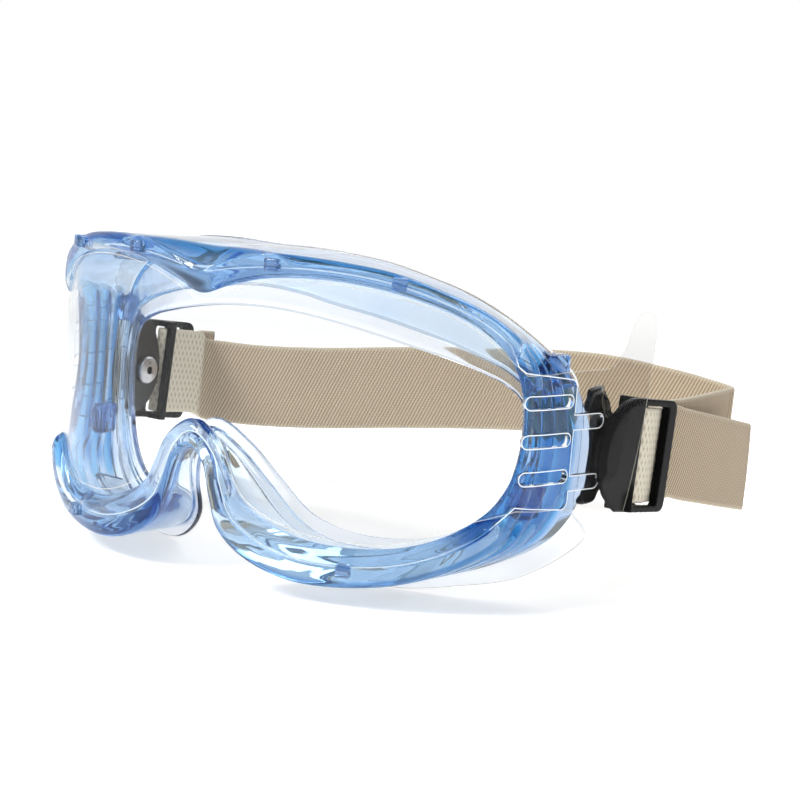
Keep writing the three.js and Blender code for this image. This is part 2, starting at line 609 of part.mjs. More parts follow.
function strapPart() {
  const route = BAND_ROUTE.map((p) => new THREE.Vector3(...p));
  const tail = TAIL_ROUTE.map((p) => new THREE.Vector3(...p));
  const hem = HEM_ROUTE.map((p) => new THREE.Vector3(...p)).reverse();
  const turns = [crossbarTurn(-1).reverse(), crossbarTurn(1)];
  const points = [...hem, ...turns[0], ...route, ...turns[1], ...tail];
  const rings = points.map((p, i) => {
    const up = new THREE.Vector3(0, 0, STRAP_WIDTH / 2);
    if (turns.flat().includes(p)) up.applyAxisAngle(X_AXIS, BUCKLE_PITCH);
    const before = points[Math.max(i - 1, 0)];
    const after = points[Math.min(i + 1, points.length - 1)];
    const side = new THREE.Vector2(after.y - before.y, before.x - after.x).normalize();
    const half = STRAP_THICKNESS / 2;
    return [[1, -1], [1, 1], [-1, 1], [-1, -1]].map(([across, end]) => new THREE.Vector3(
      side.x * half * across, side.y * half * across, 0).add(p).addScaledVector(up, end));
  });
  return loft(rings, false);
}

// ---- assembly ----

const MATERIALS = {
  frame: { color: '#5f9be0', roughness: 0.25, metalness: 0 },
  seal: { color: '#e4e8ee', roughness: 0.2, metalness: 0 },
  lens: { color: '#eef4f8', roughness: 0.08, metalness: 0 },
  film: { color: '#f6f4ee', roughness: 0.15, metalness: 0 },
  clip: { color: '#22262b', roughness: 0.35, metalness: 0 },
  pin: { color: '#9a9ea3', roughness: 0.3, metalness: 1 },
  washer: { color: '#d8d8d4', roughness: 0.5, metalness: 0 },
  strap: { color: '#c8b69b', roughness: 0.9, metalness: 0 },
};

const goggles = new THREE.Group();
goggles.name = 'safety_goggles';

function addPart(name, geometry, material, parent = goggles) {
  const mesh = new THREE.Mesh(geometry, new THREE.MeshStandardMaterial(MATERIALS[material]));
  mesh.name = name;
  parent.add(mesh);
  return mesh;
}

addPart('frame_body', frameBody(), 'frame');
addPart('face_seal', faceSeal(), 'seal');
addPart('lens', lensPart(), 'lens');
addPart('peel_off_film', filmPart(), 'film');

const BAFFLES = { brow: [2, 4.6], cheek: [13.4, 16] };
for (const [place, [first, last]] of Object.entries(BAFFLES)) {
  addPart(`${place}_vent_baffle_left`, ventBaffle(first, last), 'seal');
  addPart(`${place}_vent_baffle_right`, mirrorX(ventBaffle(first, last)), 'seal');
}

// Each side's swinging group is turned about the pivot axis to the rest pitch.
const swing = new THREE.Group();
swing.position.copy(PIVOT).applyAxisAngle(X_AXIS, BUCKLE_PITCH).negate().add(PIVOT);
swing.rotation.x = BUCKLE_PITCH;
goggles.add(swing);

for (const [side, place] of [['left', (g) => g], ['right', mirrorX]]) {
  addPart(`anchor_clip_${side}`, place(anchorClip()), 'clip');
  addPart(`pivot_pin_${side}`, place(pivotPin()), 'pin');
  addPart(`pivot_washer_${side}`, place(pivotWasher()), 'washer');
  addPart(`buckle_${side}`, place(bucklePart()), 'clip', swing);
  addPart(`keeper_bar_${side}`, place(keeperBar()), 'clip', swing);
}
addPart('headband', strapPart(), 'strap');

export default goggles;
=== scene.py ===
"""Safety goggles: the visual model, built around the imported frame.

Shapes below are given in millimetres and turned into metres as each mesh is made.
+Z is up, the goggles look along -Y, and +X is the wearer's left temple.
"""
import math

import bmesh
import bpy
import numpy as np
from mathutils import Matrix, Vector
from mathutils.geometry import tessellate_polygon


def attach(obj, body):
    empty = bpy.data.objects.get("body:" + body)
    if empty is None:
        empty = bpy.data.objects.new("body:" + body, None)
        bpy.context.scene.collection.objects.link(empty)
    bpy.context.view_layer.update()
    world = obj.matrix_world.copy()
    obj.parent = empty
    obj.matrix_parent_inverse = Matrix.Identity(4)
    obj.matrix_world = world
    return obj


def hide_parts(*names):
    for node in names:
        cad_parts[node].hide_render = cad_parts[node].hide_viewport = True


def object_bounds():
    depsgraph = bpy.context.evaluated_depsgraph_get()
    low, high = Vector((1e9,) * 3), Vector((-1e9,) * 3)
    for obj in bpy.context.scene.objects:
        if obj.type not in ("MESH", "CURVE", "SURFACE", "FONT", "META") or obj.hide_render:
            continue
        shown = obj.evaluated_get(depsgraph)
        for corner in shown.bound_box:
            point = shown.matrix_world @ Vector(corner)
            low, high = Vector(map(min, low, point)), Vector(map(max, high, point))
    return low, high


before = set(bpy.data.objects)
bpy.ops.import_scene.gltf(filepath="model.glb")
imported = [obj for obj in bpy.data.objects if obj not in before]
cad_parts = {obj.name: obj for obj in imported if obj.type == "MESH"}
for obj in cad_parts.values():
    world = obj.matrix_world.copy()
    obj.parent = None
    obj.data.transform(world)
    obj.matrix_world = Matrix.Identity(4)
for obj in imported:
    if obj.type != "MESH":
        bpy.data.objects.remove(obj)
CAD_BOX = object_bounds()

MM = 0.001

# ---- driving dimensions, as in the CAD model ----
GAP = 0.3
LENS_RADIUS = 100.0
LENS_FRONT_Y = -55.7
LENS_SWEEP = math.radians(45)
CORNER_RADIUS = 22.0
TEMPLE_HEADING = math.radians(80)
LENS_THICKNESS = 1.6
FACE_FRONT_Y = -27.0
FACE_DEPTH = 35.0
FACE_HALF_WIDTH = 80.0
FACE_POWER = 2.2
WALL = 2.7
FLANGE = 2.2
SEAL_THICKNESS = 1.6
LIP_HEIGHT = 2.2
TEMPLE_LIP = 1.0
LENS_BACK = -(LENS_THICKNESS + GAP)
PIVOT = Vector((0, 14, -3.6))
BUCKLE_PITCH = math.radians(-6)
STRAP_WIDTH = 25.0
STRAP_THICKNESS = 1.5
CROSSBAR_X = 80.4
CROSSBAR_Y = 27.6
CROSSBAR_SIZE = (1.4, 3.6)
WINDOW_REAR_Y = 36.3

# Stations round half of the goggles, from the middle of the brow over the temple (+X) to the nose arch:
# edge and rim as [distance along the lens plan, height]; rear, hem, skirt and lip as [half width, height];
# and how far the seal steps forward over the nose.
STATION_ROWS = [
    [[0, 30.4], [0, 42.4], [0, 42.2], [0, 31], [0, 42.4], [0, 25.3], 0],
    [[9, 33.4], [12, 42.8], [11, 42.4], [10, 30.4], [11, 42.6], [10, 24.9], 0],
    [[20, 36.2], [24, 42.6], [21, 42], [20, 28.6], [21, 42.2], [20, 23.8], 0],
    [[35, 37.1], [38, 42], [32, 40.8], [31, 26.8], [32, 41], [31, 21.8], 0],
    [[50, 35.6], [51, 40.4], [42, 38.2], [40, 24.6], [42, 38.4], [39, 20], 0],
    [[64, 32], [64, 36.4], [51, 35], [48.5, 22], [51, 35.2], [47, 18], 0],
    [[74, 27], [74.5, 32], [59.5, 30], [56, 19], [59.5, 30.2], [54.5, 15.4], 0],
    [[81.5, 20], [83, 25.5], [67.5, 23.2], [61.5, 16], [67.5, 23.4], [60.5, 12.4], 0],
    [[85.3, 12], [88.3, 18], [74.2, 15.5], [65.5, 11.5], [74, 15.6], [64, 8.4], 0],
    [[86.6, 4], [89.6, 5], [77.9, 3.6], [67.5, 3], [75, 3.6], [65.8, 1.5], 0],
    [[85.8, -2.5], [89.2, -5], [78.2, -6.6], [67.5, -5], [75, -7], [65.8, -5.5], 0],
    [[82.6, -10], [86.4, -14.5], [76.8, -17.4], [65.5, -13], [75, -17.2], [63.6, -12.5], 0],
    [[76.5, -17], [80, -24], [72.2, -26], [61.5, -19.5], [78.2, -25.5], [60.2, -18.6], 0],
    [[67, -22.8], [70, -30.4], [63.2, -32.6], [56, -25.6], [67, -36], [55, -23.8], 0],
    [[56, -26.2], [57, -35.2], [52, -36.8], [49, -29.6], [53, -40], [48, -27.6], 0],
    [[44, -27.3], [43, -37.4], [40, -38.4], [39.5, -31.6], [40, -42], [39.5, -29.2], 0],
    [[32, -26.4], [30, -37.3], [30, -38], [29.5, -32], [30, -41], [30, -29.4], 0],
    [[22, -23.3], [18.5, -34], [22, -35], [23.2, -30.4], [21.5, -36.6], [24, -27.6], 2.5],
    [[15.2, -19], [10.3, -28.2], [15.4, -29], [18, -25.6], [14.6, -30], [19.2, -23.4], 7],
    [[11.4, -12.4], [6.8, -20], [11.6, -20.6], [14, -17.2], [10.8, -21.4], [15, -15.2], 13],
    [[7.6, -5.4], [4.4, -12], [6.6, -12.4], [8.4, -8.4], [6.2, -13], [9, -6.4], 18],
    [[0, -0.9], [0, -8.2], [0, -8.6], [0, -3.6], [0, -9], [0, -1.6], 20],
]
OUTLINE_NAMES = ["edge", "rim", "rear", "hem", "skirt", "lip"]
LAST_STATION = len(STATION_ROWS) - 1
LOOP = 2 * LAST_STATION
TOP_BEZEL_END = 7.1
LOW_BEZEL_END = 11.9
# Between the bezels, where no lip holds the lens and its tab comes out over the temple.
OPEN_STATIONS = (TOP_BEZEL_END - 0.3, TOP_BEZEL_END + 0.15, LOW_BEZEL_END - 0.5, LOW_BEZEL_END + 0.3)
RING_STEPS = 12 * LOOP  # rings round the frame and the seal

# The lens's tab at each temple, in distance along the lens plan and height.
SLOT_START = 85.0
TAB_END = 103.0
TONGUE_LENGTH = 11.5
TONGUE_HEIGHT = 4.0
TONGUES_Z = [5.6, -9.8]
SLOTS_Z = [11, 1.4, -7.8]
SLOT_SIZE = (17.0, 3.2)
SLOT_SHIFT = 0.002  # keeps the left and right slots off one line, for the triangles

# The headband's middle line behind the buckles.
BAND_ROUTE = [
    [-78.7, 44.4, -8.6], [-76, 50, -9.4], [-66, 56.5, -9.8], [-48, 65, -8.6], [-20, 79, -5.4], [7, 91.5, -3],
    [30, 100, -2.2], [52, 104.4, -4.2], [64, 104.2, -5.6], [70, 102.4, -6.2], [71.6, 100.2, -6.4],
    [71.6, 96.6, -6.4], [73.4, 86, -6.2], [76, 70, -5.8], [78, 56, -5.3], [78.8, 46, -5],
]
TAIL_ROUTE = [[81, 45.6, -5.8], [81.6, 52, -7.2], [82, 64, -9.4], [81.8, 78, -12], [81, 93.5, -14.8]]
HEM_ROUTE = [[-81.2, 45, -6.5], [-81.2, 51, -7]]

# ---- camera ----
VIEW_AZIMUTH = math.radians(35.5)  # from -Y towards +X
VIEW_ELEVATION = math.radians(8.2)
VIEW_ROLL = math.radians(4.35)
VIEW_DISTANCE = 0.583
FOCAL_LENGTH = 97.07  # on a 36 mm sensor
VIEW_SHIFT = (0.093, -0.0025)


def make_camera():
    camera = bpy.data.objects.new("camera", bpy.data.cameras.new("camera"))
    camera.data.lens = FOCAL_LENGTH
    camera.data.sensor_width = 36
    camera.data.shift_x, camera.data.shift_y = VIEW_SHIFT
    camera.data.clip_start = 0.01
    aim = Matrix.Rotation(VIEW_AZIMUTH, 4, "Z") @ Matrix.Rotation(math.pi / 2 - VIEW_ELEVATION, 4, "X")
    roll = Matrix.Rotation(VIEW_ROLL, 4, "Z")
    camera.matrix_world = aim @ Matrix.Translation((0, 0, VIEW_DISTANCE)) @ roll
    bpy.context.scene.collection.objects.link(camera)
    bpy.context.scene.camera = camera


make_camera()

# ---- curves and surfaces ----


def smoothstep(value, low, high):
    share = np.clip((np.asarray(value, float) - low) / (high - low), 0, 1)
    return share * share * (3 - 2 * share)


def within(value, span):
    """1 inside the span and 0 outside, from where it starts, is full, begins to end, and ends."""
    return smoothstep(value, *span[:2]) * (1 - smoothstep(value, *span[2:]))


def mix(a, b, share):
    return a + (b - a) * share


def unit(vectors):
    return vectors / np.linalg.norm(vectors, axis=1, keepdims=True)


def lens_plan(distance, offset=0.0):
    """Plan point at a distance along the lens curve, moved outward by offset."""
    distance = np.asarray(distance, float)
    travelled = np.abs(distance)
    front_end = LENS_RADIUS * LENS_SWEEP
    corner_end = front_end + CORNER_RADIUS * (TEMPLE_HEADING - LENS_SWEEP)
    turned = np.minimum(LENS_SWEEP + (travelled - front_end) / CORNER_RADIUS, TEMPLE_HEADING)
    heading = np.where(travelled < front_end, travelled / LENS_RADIUS, turned)
    bend = np.minimum(heading, LENS_SWEEP)
    straight = np.maximum(travelled - corner_end, 0)
    round_corner = travelled > front_end
    x = LENS_RADIUS * np.sin(bend) + straight * math.cos(TEMPLE_HEADING)
    y = LENS_FRONT_Y + LENS_RADIUS * (1 - np.cos(bend)) + straight * math.sin(TEMPLE_HEADING)
    x = x + round_corner * CORNER_RADIUS * (np.sin(heading) - math.sin(LENS_SWEEP))
    y = y + round_corner * CORNER_RADIUS * (math.cos(LENS_SWEEP) - np.cos(heading))
    side = np.where(distance < 0, -1, 1)
    return side * (x + offset * np.sin(heading)), y - offset * np.cos(heading)


def on_face(places, nose, offset):
    """Points on the face contour from rows of [x, height], moved back by offset and forward over the nose."""
    contour = FACE_FRONT_Y + FACE_DEPTH * np.abs(places[:, 0] / FACE_HALF_WIDTH) ** FACE_POWER
    return np.stack([places[:, 0], contour - nose + offset, places[:, 1]], axis=1)


def catmull_rom(points, places, closed=False):
    """Smooth curve through rows of points, at places counted in rows."""
    points = np.asarray(points, float)
    count = len(points)
    if not closed:
        points = np.vstack([2 * points[0] - points[1], points, 2 * points[-1] - points[-2]])
        places = np.clip(places, 0, count - 1 - 1e-9)
    whole = np.floor(places).astype(int)
    t = (places - whole)[:, None]
    p0, p1, p2, p3 = [
        points[(whole + k - 1) % count] if closed else points[whole + k] for k in range(4)]
    return 0.5 * (
        2 * p1 + (p2 - p0) * t + (2 * p0 - 5 * p1 + 4 * p2 - p3) * t**2 + (3 * (p1 - p2) + p3 - p0) * t**3)


def station_loop(column):
    half = [row[column] for row in STATION_ROWS]
    return half + [[-across, height] for across, height in half[LAST_STATION - 1:0:-1]]


LOOPS = {name: station_loop(column) for column, name in enumerate(OUTLINE_NAMES)}
NOSE_STEPS = [[row[-1]] for row in STATION_ROWS]


def outline(name, stations):
    """One outline of the stations as rows of [across, height]."""
    return catmull_rom(LOOPS[name], np.asarray(stations, float) % LOOP, closed=True)


def station_place(stations):
    """Station counted from the brow, alike on both sides."""
    return np.minimum(stations % LOOP, LOOP - stations % LOOP)


def nose_step(stations):
    return catmull_rom(NOSE_STEPS, station_place(stations))[:, 0]


# ---- mesh helpers ----


def outward(points, faces):
    """The faces of a closed body, turned over where they face inward."""
    volume = sum(
        np.dot(points[face[0]], np.cross(points[face[i]], points[face[i + 1]]))
        for face in faces for i in range(1, len(face) - 1))
    return [face[::-1] for face in faces] if volume < 0 else faces


def add_object(name, mesh, material):
    piece = bpy.data.objects.new(name, mesh)
    bpy.context.scene.collection.objects.link(piece)
    for each in material if isinstance(material, list) else [material]:
        mesh.materials.append(each)
    return piece


def mesh_from(name, points, faces, uvs=None):
    """Mesh in metres from points in millimetres. uvs holds one pair for each point."""
    points = np.asarray(points, float)
    mesh = bpy.data.meshes.new(name)
    faces = [list(map(int, face)) for face in outward(points, faces)]
    mesh.from_pydata((points * MM).tolist(), [], faces, shade_flat=False)
    if uvs is not None:
        layer = mesh.uv_layers.new(name="UVMap")
        corners = np.zeros(len(mesh.loops), int)
        mesh.loops.foreach_get("vertex_index", corners)
        layer.data.foreach_set("uv", np.asarray(uvs, float)[corners].ravel())
    mesh.update()
    return mesh


def loft_faces(rings, around, closed):
    """Quads between rings of `around` points; an open loft is capped at both ends."""
    spans = rings if closed else rings - 1
    i, j = np.meshgrid(np.arange(spans), np.arange(around), indexing="ij")
    here, following = i * around, ((i + 1) % rings) * around
    after = (j + 1) % around
    quads = np.stack([here + j, following + j, following + after, here + after], axis=-1).reshape(-1, 4)
    faces = quads.tolist()
    if not closed:
        faces.append(list(range(around))[::-1])
        faces.append(list(range((rings - 1) * around, rings * around)))
    return faces


def loft(name, rings, closed, uvs=None):
    count, around = rings.shape[:2]
    return mesh_from(name, rings.reshape(-1, 3), loft_faces(count, around, closed), uvs)


def rounded_rings(corners, setbacks, fillet_steps=4, extras=None):
    """Rings with rounded corners: corners is (rings, corners, 3), a setback is how far each rounding reaches.

    extras gives the number of added points on the straight run after each corner. Returns the rings, and for
    every ring point the corner it belongs to and its share along the run that follows.
    """
    count = corners.shape[1]
    extras = extras or [0] * count
    before = np.roll(corners, 1, axis=1) - corners
    after = np.roll(corners, -1, axis=1) - corners
    before_length = np.linalg.norm(before, axis=2, keepdims=True) + 1e-9
    after_length = np.linalg.norm(after, axis=2, keepdims=True) + 1e-9
    reach = np.broadcast_to(np.asarray(setbacks, float), corners.shape[:2])[:, :, None]
    starts = corners + before * np.minimum(reach / before_length, 0.45)
    ends = corners + after * np.minimum(reach / after_length, 0.45)
    turns = np.linspace(0, 1, fillet_steps + 1)
    columns, owner, share = [], [], []
    for c in range(count):
        a, b, end, target = starts[:, c], corners[:, c], ends[:, c], starts[:, (c + 1) % count]
        run = [(step + 1) / (extras[c] + 1) for step in range(extras[c])]
        columns += [(1 - t) ** 2 * a + 2 * t * (1 - t) * b + t * t * end for t in turns]
        columns += [mix(end, target, t) for t in run]
        owner += [c] * (len(turns) + len(run))
        share += [0.0] * len(turns) + run
    return np.stack(columns, axis=1), np.array(owner), np.array(share)


# ---- material helpers ----


def add(tree, kind, inputs=(), **settings):
    """Adds a shader node; inputs maps sockets to values, or to the nodes and sockets that feed them."""
    node = tree.nodes.new("ShaderNode" + kind)
    for name, value in settings.items():
        setattr(node, name, value)
    for key, value in dict(inputs).items():
        if isinstance(value, bpy.types.Node):
            value = value.outputs[0]
        if isinstance(value, bpy.types.NodeSocket):
            tree.links.new(value, node.inputs[key])
        else:
            node.inputs[key].default_value = value
    return node


def maths(tree, operation, first, second=0.0, third=0.0):
    return add(tree, "Math", {0: first, 1: second, 2: third}, operation=operation)


def blend(tree, share, first, second):
    return add(tree, "Mix", {0: share, 6: first, 7: second}, data_type="RGBA").outputs[2]


def noise(tree, scale, detail=3.0, stretch=(1, 1, 1)):
    place = add(tree, "TexCoord").outputs["Object"]
    if stretch != (1, 1, 1):
        place = add(tree, "Mapping", {0: place, 3: stretch})
    return add(tree, "TexNoise", {0: place, "Scale": scale, "Detail": detail})


def ranged(tree, value, from_low=0.3, from_high=0.7, to_low=0, to_high=1):
    """The value moved from one range to another. Noise lies mostly between 0.3 and 0.7."""
    return add(tree, "MapRange", {0: value, 1: from_low, 2: from_high, 3: to_low, 4: to_high})


def uv_coordinates(tree):
    return add(tree, "SeparateXYZ", {0: add(tree, "UVMap", uv_map="UVMap")}).outputs


def bump(tree, height, distance, strength=1.0, normal=None):
    inputs = {"Height": height, "Distance": distance, "Strength": strength}
    if normal is not None:
        inputs["Normal"] = normal
    return add(tree, "Bump", inputs)


def new_material(name):
    material = bpy.data.materials.new(name)
    material.use_nodes = True
    material.node_tree.nodes.clear()
    return material, material.node_tree


def finished(material, inputs, kind="BsdfPrincipled", volume=None):
    """Gives the material its surface shader and, where there is one, its volume shader."""
    tree = material.node_tree
    output = {"Surface": add(tree, kind, inputs)}
    if volume is not None:
        output["Volume"] = volume
    add(tree, "OutputMaterial", output)
    return material


# ---- materials ----

EAR_RANGE = (98, 104)  # where the film is darker and hazier, past the lens's tab, in distance
EAR_TINT = (0.91, 0.908, 0.905, 1)
FLOW_SCALE = 70  # slow waves of the moulded faces
GRAIN_SCALE = 1500


def clear_plastic(name, pale, tinted, roughness, absorption, density, ior=1.47, wave=0.00025,
                  grain_depth=0.000003, deep=None):
    """Translucent moulded plastic: its colour deepens with thickness, and its face has soft flow waves.

    deep is the colour where the mesh's own depth attribute is 1; on the frame this paints a deeper blue as
    shade.
    """
    material, tree = new_material(name)
    colour = blend(tree, ranged(tree, noise(tree, 28, detail=2), 0.35), pale, tinted)
    if deep is not None:
        depth = add(tree, "Attribute", attribute_name="depth").outputs["Fac"]
        colour = blend(tree, depth, colour, deep)
    gloss = ranged(tree, noise(tree, 240), 0.3, 0.75, roughness * 0.6, roughness * 1.5)
    waves = bump(tree, noise(tree, FLOW_SCALE, detail=2, stretch=(1, 1, 0.6)), wave)
    grain = noise(tree, GRAIN_SCALE, detail=1)
    volume = add(tree, "VolumeAbsorption", {"Color": absorption, "Density": density})
    return finished(material, {
        "Base Color": colour, "Roughness": gloss, "Transmission Weight": 1.0, "IOR": ior,
        "Normal": bump(tree, grain, grain_depth, normal=waves)}, volume=volume)


def pane(name, tint, haze, haze_colour, ear_haze=0.0):
    """Thin clear film: what is behind shows through it unbent, under a mirror's share and a little haze.

    The last argument is the haze added past the lens's tab, where the film is also darker.
    """
    material, tree = new_material(name)
    held = ranged(tree, maths(tree, "ABSOLUTE", uv_coordinates(tree)[0]), *EAR_RANGE)
    clear = add(tree, "BsdfTransparent", {"Color": blend(tree, held, tint, EAR_TINT)})
    cloudy = ranged(tree, noise(tree, 60), 0.3, 0.7, haze * 0.7, haze * 1.3)
    cloudy = maths(tree, "MULTIPLY_ADD", held, ear_haze, cloudy)
    dull = add(tree, "BsdfDiffuse", {"Color": haze_colour})
    mirror = add(tree, "BsdfGlossy", {"Roughness": ranged(tree, noise(tree, 300), 0.3, 0.7, 0.012, 0.032)})
    hazed = add(tree, "MixShader", {0: cloudy, 1: clear, 2: dull})
    facing = add(tree, "LayerWeight", {"Blend": 0.5}).outputs["Facing"]
    sheen = maths(tree, "MULTIPLY_ADD", maths(tree, "POWER", facing, 5.0), 0.06, 0.002)
    return finished(material, {0: sheen, 1: hazed, 2: mirror}, "MixShader")


def cut_edge(name):
    """Slightly frosted cut edge of the clear sheet, whose pale colour is also given off as a painted glow in
    place of the light the sheet gathers.
    """
    material, tree = new_material(name)
    cloud = noise(tree, 400)
    colour = blend(tree, ranged(tree, cloud), (0.86, 0.90, 0.95, 1), (0.98, 0.99, 1, 1))
    return finished(material, {
        "Base Color": colour, "Roughness": ranged(tree, cloud, 0.2, 0.8, 0.12, 0.3),
        # Painted glow: the emission brightens the edge as gathered light would.
        "Transmission Weight": 0.1, "IOR": 1.5, "Emission Color": colour, "Emission Strength": 0.45,
        "Normal": bump(tree, noise(tree, 1200), 0.00002)})


def black_nylon(name, colour, roughness, shine):
    """Satin black moulded nylon with a fine grain, faint flow marks and rubbed edges."""
    material, tree = new_material(name)
    patches = noise(tree, 90, detail=4)
    grain = noise(tree, 5200, detail=1)
    flow = noise(tree, 160, detail=2, stretch=(1, 1, 0.35))
    rubbed = ranged(tree, add(tree, "NewGeometry").outputs["Pointiness"], 0.56, 0.66, 0, 0.4)
    lighter = [c * 1.5 + 0.001 for c in colour[:3]] + [1]
    base = blend(tree, ranged(tree, patches, to_high=0.5), colour, lighter)
    base = blend(tree, rubbed, base, (0.07, 0.07, 0.075, 1))
    return finished(material, {
        "Base Color": base, "Specular IOR Level": shine,
        "Roughness": ranged(tree, patches, 0.25, 0.75, roughness * 0.8, roughness * 1.25),
        "Normal": bump(tree, grain, 0.0000005, normal=bump(tree, flow, 0.00004))})


def plain(name, dark, pale, gloss, cloud, relief, metallic=0.0):
    """Material whose colour and gloss drift together; cloud and relief are settings of noises."""
    material, tree = new_material(name)
    drift = noise(tree, **cloud)
    return finished(material, {
        "Base Color": blend(tree, ranged(tree, drift), dark, pale), "Metallic": metallic,
        "Roughness": ranged(tree, drift, 0.2, 0.8, *gloss),
        "Normal": bump(tree, noise(tree, **relief), 0.00001)})


RIB_PITCH = 0.95  # millimetres between the twill's ribs
RIB_TURN = math.radians(-25)  # direction across the ribs, from the strap's length
YARN_PITCH = 0.8
COARSE_PITCH = 1.7  # the stretched weave where the strap goes round a crossbar
COARSE_TURN = math.radians(28)


def repeated(tree, u, v, turn, pitch, shift=0.0):
    """Wave from 0 to 1 across a direction of the strap, and the phase that makes it."""
    along_u = maths(tree, "MULTIPLY", u, math.cos(turn) / pitch)
    along_v = maths(tree, "MULTIPLY", v, math.sin(turn) / pitch)
    phase = maths(tree, "ADD", maths(tree, "ADD", along_u, along_v), shift)
    wave = maths(tree, "SINE", maths(tree, "MULTIPLY", phase, 2 * math.pi))
    return maths(tree, "MULTIPLY_ADD", wave, 0.5, 0.5), phase


def woven_elastic(name):
    """Tan elastic webbing: steep diagonal twill ribs of short yarn floats, paler selvedges and open weave."""
    material, tree = new_material(name)
    wander = maths(tree, "MULTIPLY_ADD", noise(tree, 180, detail=2), 0.5, -0.25)
    u, v = [maths(tree, "ADD", part, wander) for part in uv_coordinates(tree)[:2]]
    rib, phase = repeated(tree, u, v, RIB_TURN, RIB_PITCH)
    stagger = maths(tree, "MULTIPLY", maths(tree, "FLOOR", phase), 0.5)
    floats = repeated(tree, u, v, RIB_TURN + math.pi / 2, YARN_PITCH, stagger)[0]
    twill = maths(
        tree, "MULTIPLY", maths(tree, "POWER", rib, 0.6), maths(tree, "MULTIPLY_ADD", floats, 0.35, 0.65))
    crossed = [repeated(tree, u, v, turn, COARSE_PITCH)[0] for turn in (COARSE_TURN, -COARSE_TURN)]
    coarse = maths(tree, "MULTIPLY_ADD", maths(tree, "MAXIMUM", *crossed), 0.8, 0.2)
    turned = add(tree, "Attribute", attribute_name="turned").outputs["Fac"]
    weave = add(tree, "Mix", {0: turned, 2: twill, 3: coarse})
    fibre = ranged(tree, noise(tree, 2400, detail=2), 0.25, 0.75)
    tired = ranged(tree, noise(tree, 35, detail=4))
    ground = blend(tree, tired, (0.25, 0.19, 0.12, 1), (0.30, 0.23, 0.15, 1))
    yarn = blend(tree, fibre, (0.66, 0.54, 0.39, 1), (0.76, 0.625, 0.465, 1))
    open_weave = blend(tree, weave, (0.44, 0.38, 0.27, 1), (0.84, 0.78, 0.64, 1))
    colour = blend(tree, turned, blend(tree, weave, ground, yarn), open_weave)
    selvedge = add(tree, "Attribute", attribute_name="selvedge").outputs["Fac"]
    colour = blend(tree, maths(tree, "MULTIPLY", selvedge, 0.7), colour, (0.76, 0.69, 0.55, 1))
    relief = bump(tree, weave, 0.00016, 0.9)
    return finished(material, {
        "Base Color": colour, "Roughness": ranged(tree, fibre, 0, 1, 0.75, 0.95),
        "Sheen Weight": 0.15, "Sheen Roughness": 0.5, "Specular IOR Level": 0.2,
        "Normal": bump(tree, fibre, 0.00003, normal=relief)})


# The frame's deep colour is the blue of its painted shade.
FRAME_PVC = clear_plastic(
    "frame_pvc", (0.96, 0.98, 0.99, 1), (0.82, 0.92, 0.99, 1), 0.03, (0.0, 0.5, 0.86, 1), 25, ior=1.41,
    grain_depth=0.0000003, deep=(0.035, 0.22, 0.54, 1))
SEAL_PVC = clear_plastic(
    "seal_pvc", (0.97, 0.98, 0.99, 1), (0.93, 0.95, 0.97, 1), 0.04, (0.25, 0.42, 0.68, 1), 100, ior=1.42,
    wave=0.0001, grain_depth=0.0000005)
BAFFLE_CLEAR = clear_plastic(
    "baffle_clear", (0.96, 0.98, 1, 1), (0.9, 0.95, 1, 1), 0.06, (0.4, 0.7, 0.9, 1), 20, ior=1.4)
LENS_EDGE = cut_edge("lens_cut_edge")
LENS_CLEAR = clear_plastic(
    "lens_clear", (0.99, 0.995, 1, 1), (0.985, 0.99, 0.995, 1), 0.004, (0.4, 0.6, 0.85, 1), 30, ior=1.2,
    wave=0.000003, grain_depth=0.0000001)
FILM_CLEAR = pane("film_clear", (0.975, 0.975, 0.972, 1), 0.002, (0.9, 0.89, 0.88, 1), ear_haze=0.002)
FILM_EDGE = pane("film_edge", (0.93, 0.92, 0.88, 1), 0.45, (0.93, 0.89, 0.78, 1))
CLIP_BLACK = black_nylon("clip_black", (0.003, 0.0032, 0.004, 1), 0.16, 0.3)
BUCKLE_BLACK = black_nylon("buckle_black", (0.002, 0.0022, 0.0027, 1), 0.2, 0.05)
BRUSHED = {"scale": 500, "stretch": (6, 1, 1)}
PIN_STEEL = plain(
    "pin_steel", (0.42, 0.43, 0.45, 1), (0.66, 0.66, 0.68, 1), (0.22, 0.42), BRUSHED, BRUSHED, metallic=1.0)
WASHER_NYLON = plain(
    "washer_nylon", (0.62, 0.61, 0.55, 1), (0.78, 0.77, 0.72, 1), (0.4, 0.6), {"scale": 300}, {"scale": 2000})
STRAP_ELASTIC = woven_elastic("strap_elastic")

# ---- soft frame ----

RIB_PLACES = [(0.16, 0.07), (0.42, 0.09), (0.70, 0.10)]  # grooves in the temple wall: place and half width
RIB_STATIONS = (6.6, 8.4, 12, 14.5)
RIB_DEPTH = 1.5
# Deeper blue painted into the frame's colour as shade, where thick, edge-on or grooved plastic looks darker:
# in the grooves, over the brow, on the temples with their opening edge and inner wall, and on the lugs and
# blocks.
RIB_SHADE_TINT = 0.75
TEMPLE_STATIONS = (6.2, 7.6, 12, 13.5)
TEMPLE_SHADE_TINT = 0.3
EDGE_SHADE_TINT = 0.8
BROW_SHADE_TINT = 0.12
INNER_SHADE_TINT = 1.0  # painted shade: darker bands on the inside of the temple wall
